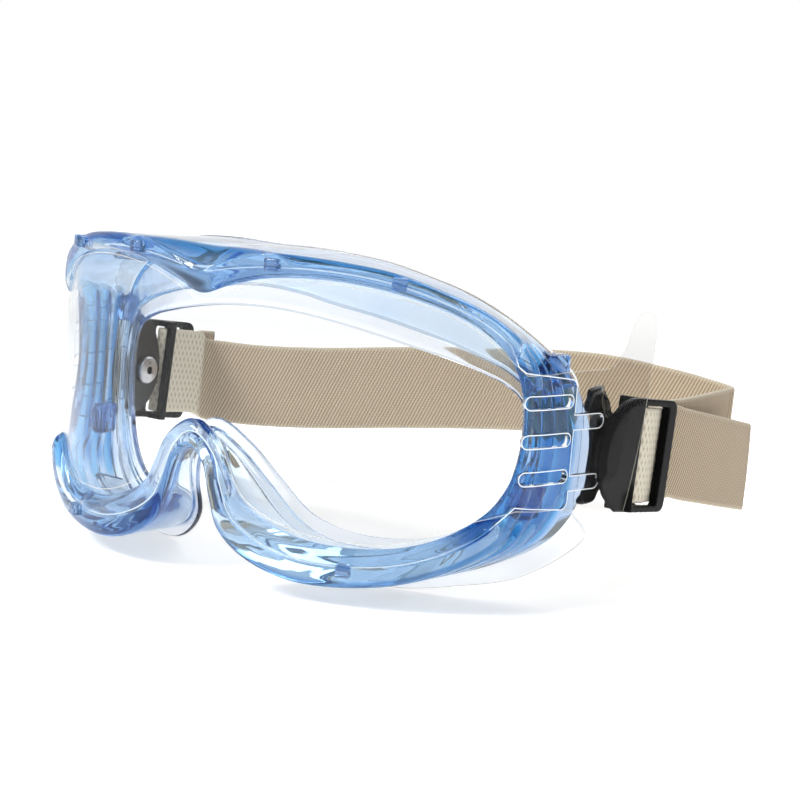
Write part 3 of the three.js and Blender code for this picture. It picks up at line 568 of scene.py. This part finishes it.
# How deep the painted blue shade is at each corner of the section, from the opening's edge round to the lens
# groove.
CORNER_SHADE_TINTS = np.array([0, 0, 0.1, 0.9, 0.15, 0.05, 0, 0, 0.05, 0.2, 0.1, 0])
V_HALF_WIDTH = 17.0  # the brow's V, from its lowest point to where it meets the rim
V_DEPTH = 2.4
LUG_SIZE = (3.6, 3.6, 3.2)
LUG_STANDOFF = 2.5
LUGS = [(21, 39.8), (52, 38), (44, -32.6)]
BLOCK_X = 70.0  # blocks inside each temple, with their y, z, length and height
TEMPLE_BLOCKS = [(-1.5, 17.2, 9.0, 8.6), (-10.5, -15.0, 8.0, 8.4)]
BLOCK_SHADE_TINT = 0.65
# Points on the run after each corner of the section, and the corners that come before some of the runs.
RUN_POINTS = [1, 3, 3, 40, 6, 2, 4, 14, 2, 2, 1, 1]
OUTER_WALL, INNER_WALL = 3, 7
OPENING_EDGE = (9, 10, 11, 0)


def frame_section(stations):
    """Corners of the frame's section at each station, with how far each is rounded."""
    edge, rim, rear, hem = [outline(name, stations) for name in ("edge", "rim", "rear", "hem")]
    nose = nose_step(stations)
    place = station_place(stations)
    held = 1 - within(place, OPEN_STATIONS)
    low = place > LOW_BEZEL_END - 1
    lip = np.where(low, LIP_HEIGHT, mix(LIP_HEIGHT, TEMPLE_LIP, smoothstep(place, 4, TOP_BEZEL_END)))
    distance = np.hypot(edge[:, 0], 1.2)
    brow = place < LAST_STATION / 2
    into_v = brow * np.clip(1 - distance / V_HALF_WIDTH, 0, 1)
    near_v = brow * (1 - smoothstep(distance, V_HALF_WIDTH, V_HALF_WIDTH + 9))
    crest = mix(0.6, 0.97 - 0.55 * into_v, near_v)

    def front(share, height):
        """Point across the lip, from the opening's edge (0) to the rim (1), at a height off the lens."""
        places = mix(edge, rim, np.reshape(share, (-1, 1)))
        x, y = lens_plan(places[:, 0], height)
        return np.stack([x, y, places[:, 1]], axis=1)

    inner = mix(0.62, 0.0, held)
    shoulder = mix(0.72, 0.16, held)
    peak = mix(0.84, crest, held)
    groove = mix(0.56, 0.55, held)
    corner = rear + (hem - rear) * (WALL / np.linalg.norm(hem - rear, axis=1))[:, None]
    corners = [
        (front(inner, mix(LENS_BACK, GAP, held)), 0.25),
        (front(shoulder, mix(LENS_BACK, lip, held)), 1.1),
        (front(peak, mix(LENS_BACK, lip + 0.9, held)), 1.6),
        (front(1.0, mix(LENS_BACK, lip - 0.6 - V_DEPTH * into_v, held)), 1.6),
        (on_face(rear, nose, 0), 1.3),
        (on_face(hem, nose, 0), 0.9),
        (on_face(hem, nose, -FLANGE), 0.9),
        (on_face(corner, nose, -FLANGE), 1.6),
        (front(0.3, LENS_BACK - WALL), 1.6),
        (front(0.02, LENS_BACK), 0.7),
        (front(groove, LENS_BACK), 0.05),
        (front(groove, mix(LENS_BACK + 0.01, GAP, held)), 0.05),
    ]
    setbacks = np.stack([np.full(len(stations), reach) for _, reach in corners], axis=1)
    setbacks[:, 2] = mix(setbacks[:, 2], 0.35, near_v)
    return np.stack([points for points, _ in corners], axis=1), setbacks


def rib_profile(share):
    return sum(np.clip(1 - ((share - at) / half) ** 2, 0, 1) ** 0.5 for at, half in RIB_PLACES)


def turned_block(size, bevel, centre, heading):
    """Small block with rounded edges."""
    block = bmesh.new()
    bmesh.ops.create_cube(block, size=1.0, matrix=Matrix.Diagonal((*size, 1)))
    bmesh.ops.bevel(block, geom=block.edges[:], offset=bevel, segments=3, profile=0.5, affect="EDGES")
    points = np.array([v.co for v in block.verts])
    faces = [[v.index for v in face.verts] for face in block.faces]
    block.free()
    c, s = math.cos(heading), math.sin(heading)
    x, y = points[:, 0] * c - points[:, 1] * s, points[:, 0] * s + points[:, 1] * c
    return np.stack([x, y, points[:, 2]], axis=1) + centre, faces


def join_parts(parts):
    """One set of points and faces from several."""
    points, faces, start = [], [], 0
    for part_points, part_faces in parts:
        points.append(part_points)
        faces += [[start + i for i in face] for face in outward(part_points, part_faces)]
        start += len(part_points)
    return np.vstack(points), faces


def make_frame_body():
    stations = np.arange(RING_STEPS) * LOOP / RING_STEPS
    corners, setbacks = frame_section(stations)
    rings, owner, share = rounded_rings(corners, setbacks, 5, RUN_POINTS)
    place = station_place(stations)
    inward = unit(mix(corners[:, 8], corners[:, 7], 0.5) - mix(corners[:, 3], corners[:, 4], 0.5))
    ribs = within(place, RIB_STATIONS)[:, None] * (rib_profile(share) * (owner == OUTER_WALL))[None, :]
    rings = rings + (RIB_DEPTH * ribs)[:, :, None] * inward[:, None, :]
    count, around = rings.shape[:2]
    parts = [(rings.reshape(-1, 3), loft_faces(count, around, True))]
    # Painted shade: the deeper blue for each ring point, which goes into the depth attribute.
    run_shade_tint = mix(CORNER_SHADE_TINTS[owner], np.roll(CORNER_SHADE_TINTS, -1)[owner], share)
    temple = within(place, TEMPLE_STATIONS)[:, None]
    opening_edge = np.isin(owner, OPENING_EDGE)[None, :]
    shade_stripes = (owner == INNER_WALL) * (0.5 - 0.5 * np.cos(6 * math.pi * share))
    tint = run_shade_tint[None, :] + RIB_SHADE_TINT * ribs + BROW_SHADE_TINT * (1 - smoothstep(place, 5, 7))[:, None]
    tint = tint + temple * (TEMPLE_SHADE_TINT + EDGE_SHADE_TINT * opening_edge + INNER_SHADE_TINT * shade_stripes[None, :])
    shade_tints = [np.clip(tint, 0, 1).ravel()]
    for side in (-1, 1):
        for distance, height in LUGS:
            x, y = lens_plan(side * distance, LUG_STANDOFF)
            x2, y2 = lens_plan(side * distance + 0.5, LUG_STANDOFF)
            parts.append(turned_block(LUG_SIZE, 0.5, (x, y, height), math.atan2(y2 - y, x2 - x)))
    for y, height, length, tall in TEMPLE_BLOCKS:
        for side in (-1, 1):
            parts.append(turned_block((4.4, length, tall), 0.9, (side * BLOCK_X, y, height), side * -0.16))
    points, faces = join_parts(parts)
    shade_tints.append(np.full(len(points) - len(shade_tints[0]), BLOCK_SHADE_TINT))
    mesh = mesh_from("soft_frame", points, faces)
    mesh.attributes.new("depth", "FLOAT", "POINT").data.foreach_set("value", np.concatenate(shade_tints))
    return add_object("soft_frame", mesh, FRAME_PVC)


# ---- face seal and vent baffles ----


def make_face_seal():
    stations = np.arange(RING_STEPS) * LOOP / RING_STEPS
    skirt, lip = outline("skirt", stations), outline("lip", stations)
    nose = nose_step(stations)
    corners = np.stack([
        on_face(skirt, nose, GAP), on_face(skirt, nose, GAP + SEAL_THICKNESS),
        on_face(lip, nose, GAP + SEAL_THICKNESS), on_face(lip, nose, GAP)], axis=1)
    rings = rounded_rings(corners, [0.7] * 4, 4, [0, 9, 0, 9])[0]
    return add_object("face_seal_flange", loft("face_seal_flange", rings, True), SEAL_PVC)


BAFFLES = {"brow": (2.0, 4.6), "cheek": (13.4, 16.0)}  # first and last station
BAFFLE_DEPTHS = (0.25, 0.8)  # shares of the way back along the frame's wall
BAFFLE_HEIGHTS = (GAP + 0.1, GAP + 1.5)


def make_baffle(name, first, last, side):
    stations = np.linspace(first, last, 60)
    section = frame_section(stations)[0]
    wall_front, wall_back = section[:, 8], section[:, 7]
    along = frame_section(stations + 0.1)[0][:, 8] - wall_front
    normal = unit(np.cross(along, wall_back - wall_front))
    near, far = [mix(wall_front, wall_back, depth) for depth in BAFFLE_DEPTHS]
    low, high = [normal * height for height in BAFFLE_HEIGHTS]
    corners = np.stack([near - low, far - low, far - high, near - high], axis=1)
    corners[:, :, 0] *= side
    rings = rounded_rings(corners, [0.4] * 4, 3, [6, 0, 6, 0])[0]
    return add_object(name, loft(name, rings, False), BAFFLE_CLEAR)


# ---- lens and film: flat sheets, bent round their routes ----


def arc(centre, radius, start, end, steps):
    turns = np.radians(np.linspace(start, end, steps))
    return [[centre[0] + radius * math.cos(t), centre[1] + radius * math.sin(t)] for t in turns]


def slot_loop(start, length, height, z):
    r = height / 2
    return arc((start + length - r, z), r, -90, 90, 9) + arc((start + r, z), r, 90, 270, 9)


def panel_line(share, stations):
    return mix(outline("edge", stations), outline("rim", stations), share).tolist()


def mirrored_loop(half):
    """Whole outline from its +X half, which runs from the brow to the nose arch."""
    return half + [[-across, height] for across, height in half[-2:0:-1]]


def inset_loop(loop, distance):
    """The loop moved towards its left-hand side."""
    points = np.array(loop, float)
    after = unit(np.roll(points, -1, axis=0) - points)
    normals = np.stack([-after[:, 1], after[:, 0]], axis=1)
    both = normals + np.roll(normals, 1, axis=0)
    return points + both * distance / np.maximum((both ** 2).sum(axis=1) / 2, 0.5)[:, None]


def turns_left(loop):
    x, y = np.array(loop, float).T
    return (x * np.roll(y, -1) - y * np.roll(x, -1)).sum() > 0


def filled(sheet, rows, loops, upward):
    """Triangles between a row of vertices for each loop."""
    vertices = [vertex for row in rows for vertex in row]
    flat = [Vector((x, y, 0)) for loop in loops for x, y in loop]
    for a, b, c in tessellate_polygon([[Vector((x, y, 0)) for x, y in loop] for loop in loops]):
        area = (flat[b] - flat[a]).cross(flat[c] - flat[a]).z
        if abs(area) > 1e-9:
            order = (a, b, c) if (area > 0) == upward else (a, c, b)
            sheet.faces.new([vertices[i] for i in order])


EDGE_TILT = (0.2, 0.98)  # upright share of the normal on faces that count as rounded edge


def flat_panel(loops, thickness, bevel, band):
    """Flat sheet with holes and rounded edges; band is the width of the marked strip along each outline."""
    sheet = bmesh.new()
    insets = []
    for number, loop in enumerate(loops):
        towards_sheet = 1 if turns_left(loop) == (number == 0) else -1
        insets.append(inset_loop(loop, band * towards_sheet))
    top, under, inner = [
        [[sheet.verts.new((x, y, height)) for x, y in loop] for loop in outlines]
        for outlines, height in ((loops, 0), (loops, -thickness), (insets, 0))]
    filled(sheet, inner, insets, True)
    filled(sheet, under, loops, False)
    for outer, low, inside in zip(top, under, inner):
        for i in range(len(outer)):
            j = (i + 1) % len(outer)
            strip = sheet.faces.new([outer[i], outer[j], inside[j], inside[i]])
            strip.material_index = 1
            sheet.faces.new([outer[i], low[i], low[j], outer[j]])
    bmesh.ops.recalc_face_normals(sheet, faces=sheet.faces[:])
    rims = [e for e in sheet.edges if e.is_manifold and e.calc_face_angle() > math.radians(60)
            and abs(e.verts[0].co.z - e.verts[1].co.z) < 1e-6]
    bmesh.ops.bevel(
        sheet, geom=rims, offset=bevel, segments=2, profile=0.5, affect="EDGES", clamp_overlap=True)
    return sheet


def bent_panel(name, sheet, slices, bend, materials):
    """Cuts a flat sheet into narrow strips and bends it by bend(distances, offsets).

    materials holds that of the faces and that of the edges.
    """
    for at in slices:
        geometry = sheet.verts[:] + sheet.edges[:] + sheet.faces[:]
        bmesh.ops.bisect_plane(sheet, geom=geometry, dist=1e-5, plane_co=(at, 0, 0), plane_no=(1, 0, 0))
    sheet.normal_update()
    for face in sheet.faces:
        face.smooth = True
        if EDGE_TILT[0] < abs(face.normal.z) < EDGE_TILT[1]:
            face.material_index = 1
    for edge in sheet.edges:
        if edge.is_manifold:
            edge.smooth = edge.calc_face_angle() < math.radians(20)
    layer = sheet.loops.layers.uv.new("UVMap")
    for face in sheet.faces:
        for corner in face.loops:
            corner[layer].uv = corner.vert.co.xy
    places = np.array([v.co for v in sheet.verts])
    x, y = bend(places[:, 0], places[:, 2])
    for vertex, across, along, height in zip(sheet.verts, x, y, places[:, 1]):
        vertex.co = Vector((across, along, height)) * MM
    mesh = bpy.data.meshes.new(name)
    sheet.to_mesh(mesh)
    sheet.free()
    return add_object(name, mesh, materials)


def panel_slices(end, fine_from=74.0, coarse=2.0, fine=0.8):
    half = np.concatenate([np.arange(0, fine_from, coarse), np.arange(fine_from, end, fine)])
    return sorted(set(np.round(np.concatenate([-half[1:], half]), 4)))


LENS_BEVEL = 0.28
LENS_BAND = 0.24
CORNER_ROUND = 2.4  # radius of the tab's corners


def lens_outline():
    top = panel_line(0.5, np.linspace(0, 6.7, 60))
    bottom = panel_line(0.5, np.linspace(12.2, LAST_STATION, 110))
    r = TONGUE_HEIGHT / 2
    tab = [[82.4, 20.0], [84.6, 18.5], [92, 17.7]]
    tab += arc((TAB_END - CORNER_ROUND, 14.2), CORNER_ROUND, 84, 0, 6)
    for z in TONGUES_Z:
        tip = arc((TAB_END + TONGUE_LENGTH - r, z), r, 90, -90, 11)
        tab += [[TAB_END, z + r]] + tip + [[TAB_END, z - r]]
    tab += arc((TAB_END - CORNER_ROUND, -14.0), CORNER_ROUND, 0, -84, 6)
    tab += [[92, -15.6], [84.5, -14.9]]
    return mirrored_loop(top + tab + bottom)


def make_lens():
    length, height = SLOT_SIZE
    starts = {-1: -SLOT_START - length, 1: SLOT_START}
    slots = [
        slot_loop(starts[side], length, height, z + side * SLOT_SHIFT) for side in (-1, 1) for z in SLOTS_Z]
    sheet = flat_panel([lens_outline()] + slots, LENS_THICKNESS, LENS_BEVEL, LENS_BAND)
    slices = panel_slices(TAB_END + TONGUE_LENGTH)
    return bent_panel("lens_panel", sheet, slices, lens_plan, [LENS_CLEAR, LENS_EDGE])


FILM_OFFSET = GAP + 0.1
FILM_THICKNESS = 0.3
FILM_MARGIN = -0.12  # its edge, as a share from the opening's edge to the rim
FILM_BEVEL = 0.14
FILM_BAND = 0.22
FILM_LEAVES = 97.0  # distance where the film leaves the lens's tab
# The ear's plan points past there, and its outline in y and z.
EAR_ROUTE = [
    (81.6, -3.4), (84.5, 0.2), (85.1, 5.6), (85.3, 9), (85.5, 12.4), (85.7, 15), (85.9, 18.4), (86.1, 21.4),
]
EAR_LOOP = [
    (-3.4, 19.2), (0.2, 19.8), (4.0, 21.6), (7.2, 25.0), (9.2, 29), (11.6, 32.3), (15.2, 33.4), (19.2, 32.4),
    (21, 29.0), (20.6, 22), (19.4, 10), (17.2, -2), (14.6, -12), (12.2, -19), (9.4, -22.4), (4.6, -22.8),
    (1, -20.6), (-1.4, -17.4), (-3.4, -16),
]


def film_route():
    """Distances and plan points of the film, on the +X side."""
    on_lens_part = np.linspace(0, FILM_LEAVES, 400)
    x, y = lens_plan(on_lens_part, FILM_OFFSET)
    ear = catmull_rom([(x[-1], y[-1]), *EAR_ROUTE], np.linspace(0, len(EAR_ROUTE), 200))
    points = np.vstack([np.stack([x, y], axis=1), ear[1:]])
    steps = np.linalg.norm(np.diff(points, axis=0), axis=1)
    return np.concatenate([on_lens_part, FILM_LEAVES + np.cumsum(steps[len(on_lens_part) - 1:])]), points


FILM_DISTANCES, FILM_POINTS = film_route()
FILM_HEADINGS = np.gradient(FILM_POINTS, FILM_DISTANCES, axis=0)


def bend_film(distances, offsets):
    travelled = np.abs(distances)
    side = np.where(distances < 0, -1, 1)
    columns = np.hstack([FILM_POINTS, FILM_HEADINGS]).T
    x, y, dx, dy = [np.interp(travelled, FILM_DISTANCES, column) for column in columns]
    length = np.hypot(dx, dy)
    out = offsets + FILM_THICKNESS
    return side * (x + out * dy / length), y - out * dx / length


def make_film():
    top = panel_line(FILM_MARGIN, np.linspace(0, 6.4, 50))
    bottom = panel_line(FILM_MARGIN, np.linspace(12.5, LAST_STATION, 100))
    past = FILM_POINTS[:, 1] > -8  # from here on, y grows along the film
    ear = catmull_rom(EAR_LOOP, np.linspace(0, len(EAR_LOOP) - 1, 90))
    ear[:, 0] = np.interp(ear[:, 0], FILM_POINTS[past, 1], FILM_DISTANCES[past])
    tab = [[84.5, 18.0], [93, 18.2]] + ear.tolist() + [[93, -16], [84.5, -15.6]]
    sheet = flat_panel([mirrored_loop(top + tab + bottom)], FILM_THICKNESS, FILM_BEVEL, FILM_BAND)
    slices = panel_slices(float(FILM_DISTANCES[-1]))
    return bent_panel("film_panel", sheet, slices, bend_film, [FILM_CLEAR, FILM_EDGE])


# ---- black nylon parts, pins and washers ----


def moulded_copy(name, node, voxel, material, shape=None):
    """Copy of a CAD node with soft edges; shape moves its points, in millimetres."""
    mesh = bpy.data.meshes.new(name)
    welded = bmesh.new()
    welded.from_mesh(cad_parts[node].data)
    bmesh.ops.remove_doubles(welded, verts=welded.verts[:], dist=1e-7)
    welded.to_mesh(mesh)
    welded.free()
    piece = add_object(name, mesh, material)
    remesh = piece.modifiers.new("moulded", "REMESH")
    remesh.mode = "VOXEL"
    remesh.voxel_size = voxel * MM
    relax = piece.modifiers.new("relaxed", "SMOOTH")
    relax.factor = 0.5
    relax.iterations = 6
    graph = bpy.context.evaluated_depsgraph_get()
    piece.data = bpy.data.meshes.new_from_object(piece.evaluated_get(graph))
    piece.modifiers.clear()
    bpy.data.meshes.remove(mesh)
    if shape is not None:
        points = np.zeros(len(piece.data.vertices) * 3)
        piece.data.vertices.foreach_get("co", points)
        moved = shape(points.reshape(-1, 3) / MM) * MM
        piece.data.vertices.foreach_set("co", moved.ravel())
    piece.data.shade_smooth()
    piece.data.update()
    return piece


def unpitched(points):
    """Place along and height of points about the pivot, without the buckles' rest pitch."""
    y, z = points[:, 1] - PIVOT.y, points[:, 2] - PIVOT.z
    c, s = math.cos(-BUCKLE_PITCH), math.sin(-BUCKLE_PITCH)
    return y * c - z * s, y * s + z * c


EDGE_ROLL = 0.9
FACET_SLOPE = 0.34
FACET_DEPTH = 1.5
ARM_FLARE = 1.3
ARM_REACH = 3.2


def shape_buckle(points):
    """Rolls the buckle's round front edge inward and cuts a sloping facet low on its plate."""
    along, height = unpitched(points)
    side = np.sign(points[:, 0])
    radius = np.hypot((along - 6) / 16.2, height / 15.2)  # 1 on the plate's outline
    roll = EDGE_ROLL * smoothstep(radius, 0.84, 1.02) * (1 - smoothstep(along, 2, 8))
    facet = np.minimum(FACET_SLOPE * np.clip(-5.6 - height - 0.12 * along, 0, None), FACET_DEPTH)
    facet *= 1 - smoothstep(along, 6, 8.6)
    outer = smoothstep(np.abs(points[:, 0]), 81.8, 83.6)
    moved = points.copy()
    moved[:, 0] -= side * np.maximum(roll, facet) * outer
    return moved


def shape_clip(points):
    """Flares the clip's arms outward, stretches them forward and slopes their rear corners."""
    along = points[:, 1]
    side = np.sign(points[:, 0])
    off_middle = np.abs(points[:, 2] - PIVOT.z)
    flare = ARM_FLARE * smoothstep(off_middle, 11, 17) * (1 - smoothstep(along, 10, 14))
    outer = smoothstep(np.abs(points[:, 0]), 76.8, 78.2)
    slope = np.minimum(0.5 * np.clip(along + 0.5 * off_middle - 17.4, 0, None), 1.2) * outer
    slope *= smoothstep(off_middle, 8.5, 10.5)
    reach = ARM_REACH * smoothstep(off_middle, 9, 12) * (1 - smoothstep(along, 6.4, 13))
    moved = points.copy()
    moved[:, 0] += side * (flare - slope)
    moved[:, 1] -= reach
    return moved


# Rows of [x, radius] about the pivot axis.
PIN_PROFILE = [
    (74.6, 1.2), (74.62, 3.2), (74.8, 3.7), (75.2, 4.0), (75.9, 4.0), (76, 3.9), (76.0, 2.3), (76.1, 2.2),
    (79, 2.2), (82.4, 2.2), (82.65, 2.05), (82.7, 1.8), (82.7, 0.6),
]
WASHER_SECTION = [(80.7, 2.5), (80.7, 5.1), (81.3, 5.1), (81.3, 2.5)]


def turned_rings(profile, side, steps=72):
    """One ring about the pivot axis for each row of the profile."""
    turns = np.linspace(0, 2 * math.pi, steps, endpoint=False)
    return np.stack([np.stack([
        np.full(steps, side * x), PIVOT.y + radius * np.cos(turns), PIVOT.z + radius * np.sin(turns)], axis=1)
        for x, radius in profile])


def make_pin(name, side):
    return add_object(name, loft(name, turned_rings(PIN_PROFILE, side), False), PIN_STEEL)


def make_washer(name, side):
    corners = turned_rings(WASHER_SECTION, side).transpose(1, 0, 2)
    rings = rounded_rings(corners, [0.15] * 4, 3)[0]
    return add_object(name, loft(name, rings, True), WASHER_NYLON)


# ---- headband ----

BAND_STEPS = 5  # points along the strap between two route points, at least


def pitched(point):
    rotation = Matrix.Rotation(BUCKLE_PITCH, 3, "X")
    return rotation @ (Vector(point) - PIVOT) + PIVOT


def crossbar_turn(side):
    """Middle line round a crossbar, from the inner run to the outer layer."""
    across, along = CROSSBAR_SIZE
    reach = across / 2 + GAP + STRAP_THICKNESS / 2
    foremost = CROSSBAR_Y - along / 2 + 0.4
    turns = np.linspace(-math.pi / 2, math.pi / 2, 7)
    bend = [(CROSSBAR_X + reach * math.sin(a), foremost - reach * math.cos(a)) for a in turns]
    inner = [(CROSSBAR_X - reach, WINDOW_REAR_Y + 4), (CROSSBAR_X - reach, CROSSBAR_Y)]
    outer = [
        (CROSSBAR_X + reach, CROSSBAR_Y + 1.8), (CROSSBAR_X + 0.9, CROSSBAR_Y + 5.4),
        (CROSSBAR_X + 0.1, WINDOW_REAR_Y + 0.6), (CROSSBAR_X + 0.1, WINDOW_REAR_Y + 5)]
    return [tuple(pitched((side * x, y, PIVOT.z))) for x, y in inner + bend + outer]


def strap_route():
    """Route points of the strap's middle line, with 1 where it goes round a crossbar."""
    right, left = crossbar_turn(-1)[::-1], crossbar_turn(1)
    pieces = [(HEM_ROUTE[::-1], 0), (right, 1), (BAND_ROUTE, 0), (left, 1), (TAIL_ROUTE, 0)]
    points = [tuple(p) for part, _ in pieces for p in part]
    turned = [flag for part, flag in pieces for _ in part]
    return np.array(points, float), np.array(turned, float)


def make_headband():
    route, flags = strap_route()
    lengths = np.linalg.norm(np.diff(route, axis=0), axis=1)
    places = [0.0]
    for i, length in enumerate(lengths):
        steps = max(BAND_STEPS, int(length / 0.9))
        places += (i + (np.arange(steps) + 1) / steps).tolist()
    places = np.array(places)
    middle = catmull_rom(route, places)
    turned = np.interp(places, np.arange(len(flags)), flags)
    along = np.concatenate([[0], np.cumsum(np.linalg.norm(np.diff(middle, axis=0), axis=1))])
    heading = np.gradient(middle, along, axis=0)
    side = unit(np.stack([heading[:, 1], -heading[:, 0]], axis=1))
    pitch = BUCKLE_PITCH * turned
    up = np.stack([np.zeros(len(places)), -np.sin(pitch), np.cos(pitch)], axis=1)
    half_width, half_thick = STRAP_WIDTH / 2, STRAP_THICKNESS / 2
    shape = [(-1.0, -0.55), (-0.97, -0.9), (-0.9, -1.0)] + [(t, -0.96) for t in np.linspace(-0.75, 0.75, 7)]
    shape += [(0.9, -1.0), (0.97, -0.9), (1.0, -0.55)]
    shape = shape + [(t, -n) for t, n in shape[::-1]]
    across = np.array([t for t, _ in shape]) * half_width
    out = np.array([n for _, n in shape]) * half_thick
    sag = 0.25 * (1 - turned[:, None]) * (1 - (across / half_width) ** 2)[None, :]
    ripple = 0.12 * np.sin(along / 9.0)[:, None] * np.sin(across / 5.0)[None, :] * (1 - turned[:, None])
    shift = out[None, :] + sag + ripple
    flat_side = np.concatenate([side, np.zeros((len(places), 1))], axis=1)
    rings = middle[:, None, :] + across[None, :, None] * up[:, None, :]
    rings = rings + shift[:, :, None] * flat_side[:, None, :]
    u = np.repeat(along[:, None], len(shape), axis=1)
    v = np.repeat(across[None, :], len(places), axis=0)
    mesh = loft("strap_band", rings, False, np.stack([u, v], axis=-1).reshape(-1, 2))
    edge_share = smoothstep(np.abs(across) / half_width, 0.955, 0.985)
    marks = {"turned": np.repeat(smoothstep(turned, 0.2, 0.8), len(shape)),
             "selvedge": np.tile(edge_share, len(places))}
    for name, values in marks.items():
        mesh.attributes.new(name, "FLOAT", "POINT").data.foreach_set("value", values)
    piece = add_object("strap_band", mesh, STRAP_ELASTIC)
    return piece, float(along[-1]) * MM


# ---- pieces on their bodies ----


def mount(piece, body, node):
    """Puts a piece on a body in place of a CAD node."""
    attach(piece, body)
    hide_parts(node)


mount(make_frame_body(), "goggles", "frame_body")
mount(make_face_seal(), "goggles", "face_seal")
mount(make_lens(), "goggles", "lens")
mount(make_film(), "goggles", "peel_off_film")
for end, side in (("left", 1), ("right", -1)):
    for part, (first, last) in BAFFLES.items():
        baffle = make_baffle(f"{part}_baffle_{end}", first, last, side)
        mount(baffle, "goggles", f"{part}_vent_baffle_{end}")
    clip = moulded_copy(f"temple_clip_{end}", f"anchor_clip_{end}", 0.35, CLIP_BLACK, shape_clip)
    mount(clip, "goggles", f"anchor_clip_{end}")
    mount(make_pin(f"temple_pin_{end}", side), "goggles", f"pivot_pin_{end}")
    mount(make_washer(f"temple_washer_{end}", side), "goggles", f"pivot_washer_{end}")
    plate = moulded_copy(f"strap_buckle_{end}", f"buckle_{end}", 0.3, BUCKLE_BLACK, shape_buckle)
    mount(plate, f"{end}_buckle", f"buckle_{end}")
    keeper = moulded_copy(f"strap_keeper_{end}", f"keeper_bar_{end}", 0.25, BUCKLE_BLACK)
    mount(keeper, f"{end}_buckle", f"keeper_bar_{end}")

headband, strap_length = make_headband()
mount(headband, "strap", "headband")

# ---- studio ----

FLOOR_RADIUS = 3.0
FLOOR_DROP = 0.0004  # below the lowest point of the goggles
# The floor's glow over distance from the middle: less past the goggles, then up to the horizon's white.
NEAR_GLOW = (0.15, 0.6, 0.5, 0.2)
FAR_GLOW = (0.5, 1.3, 0.2, 0.9)


def make_floor():
    """Round pale floor that the goggles stand on."""
    material, tree = new_material("studio_floor")
    tone = ranged(tree, noise(tree, 3, detail=2))
    colour = blend(tree, tone, (0.93, 0.93, 0.93, 1), (0.95, 0.95, 0.95, 1))
    centred = add(tree, "TexCoord").outputs["Object"]
    reach = add(tree, "VectorMath", {0: centred}, operation="LENGTH").outputs["Value"]
    glow = maths(tree, "MAXIMUM", ranged(tree, reach, *NEAR_GLOW), ranged(tree, reach, *FAR_GLOW))
    finished(material, {
        "Base Color": colour, "Roughness": 0.9, "Specular IOR Level": 0.1,
        "Emission Color": (1, 1, 1, 1), "Emission Strength": glow})
    disc = bmesh.new()
    bmesh.ops.create_circle(disc, cap_ends=True, radius=FLOOR_RADIUS, segments=96)
    mesh = bpy.data.meshes.new("studio_floor")
    disc.to_mesh(mesh)
    disc.free()
    floor = add_object("studio_floor", mesh, material)
    floor.location.z = CAD_BOX[0][2] - FLOOR_DROP


def make_light(name, location, size, power):
    data = bpy.data.lights.new(name, "AREA")
    data.shape = "DISK"
    data.size = size
    data.energy = power
    light = bpy.data.objects.new(name, data)
    light.location = location
    light.rotation_euler = (-Vector(location)).to_track_quat("-Z", "Y").to_euler()
    bpy.context.scene.collection.objects.link(light)


def make_world():
    """White studio: the camera sees plain white, and the light dims from behind the goggles to the front."""
    world = bpy.data.worlds.new("studio")
    world.use_nodes = True
    tree = world.node_tree
    tree.nodes.clear()
    direction = add(tree, "TexCoord").outputs["Generated"]
    view_line = (math.sin(VIEW_AZIMUTH), -math.cos(VIEW_AZIMUTH), 0)
    facing = add(tree, "VectorMath", {0: direction, 1: view_line}, operation="DOT_PRODUCT").outputs["Value"]
    behind = ranged(tree, facing, -0.2, -0.85)
    strength = maths(tree, "MULTIPLY_ADD", maths(tree, "POWER", behind, 1.2), 0.76, 0.24)
    seen = add(tree, "LightPath").outputs["Is Camera Ray"]
    strength = add(tree, "Mix", {0: seen, 2: strength, 3: 1.0})
    background = add(tree, "Background", {"Color": (1, 1, 1, 1), "Strength": strength})
    add(tree, "OutputWorld", {"Surface": background})
    bpy.context.scene.world = world


make_floor()
make_world()
make_light("key", (-0.35, -0.95, 0.85), 0.5, 14)
make_light("side", (1.1, -0.25, 0.75), 0.4, 2)
make_light("back", (0.1, 0.9, 0.9), 0.8, 4)

scene = bpy.context.scene
scene.view_settings.view_transform = "Standard"
scene.cycles.max_bounces = 40
scene.cycles.transmission_bounces = 36
scene.cycles.transparent_max_bounces = 24
scene.cycles.glossy_bounces = 24
scene.cycles.diffuse_bounces = 4
scene.cycles.sample_clamp_indirect = 4.0

bpy.context.view_layer.update()
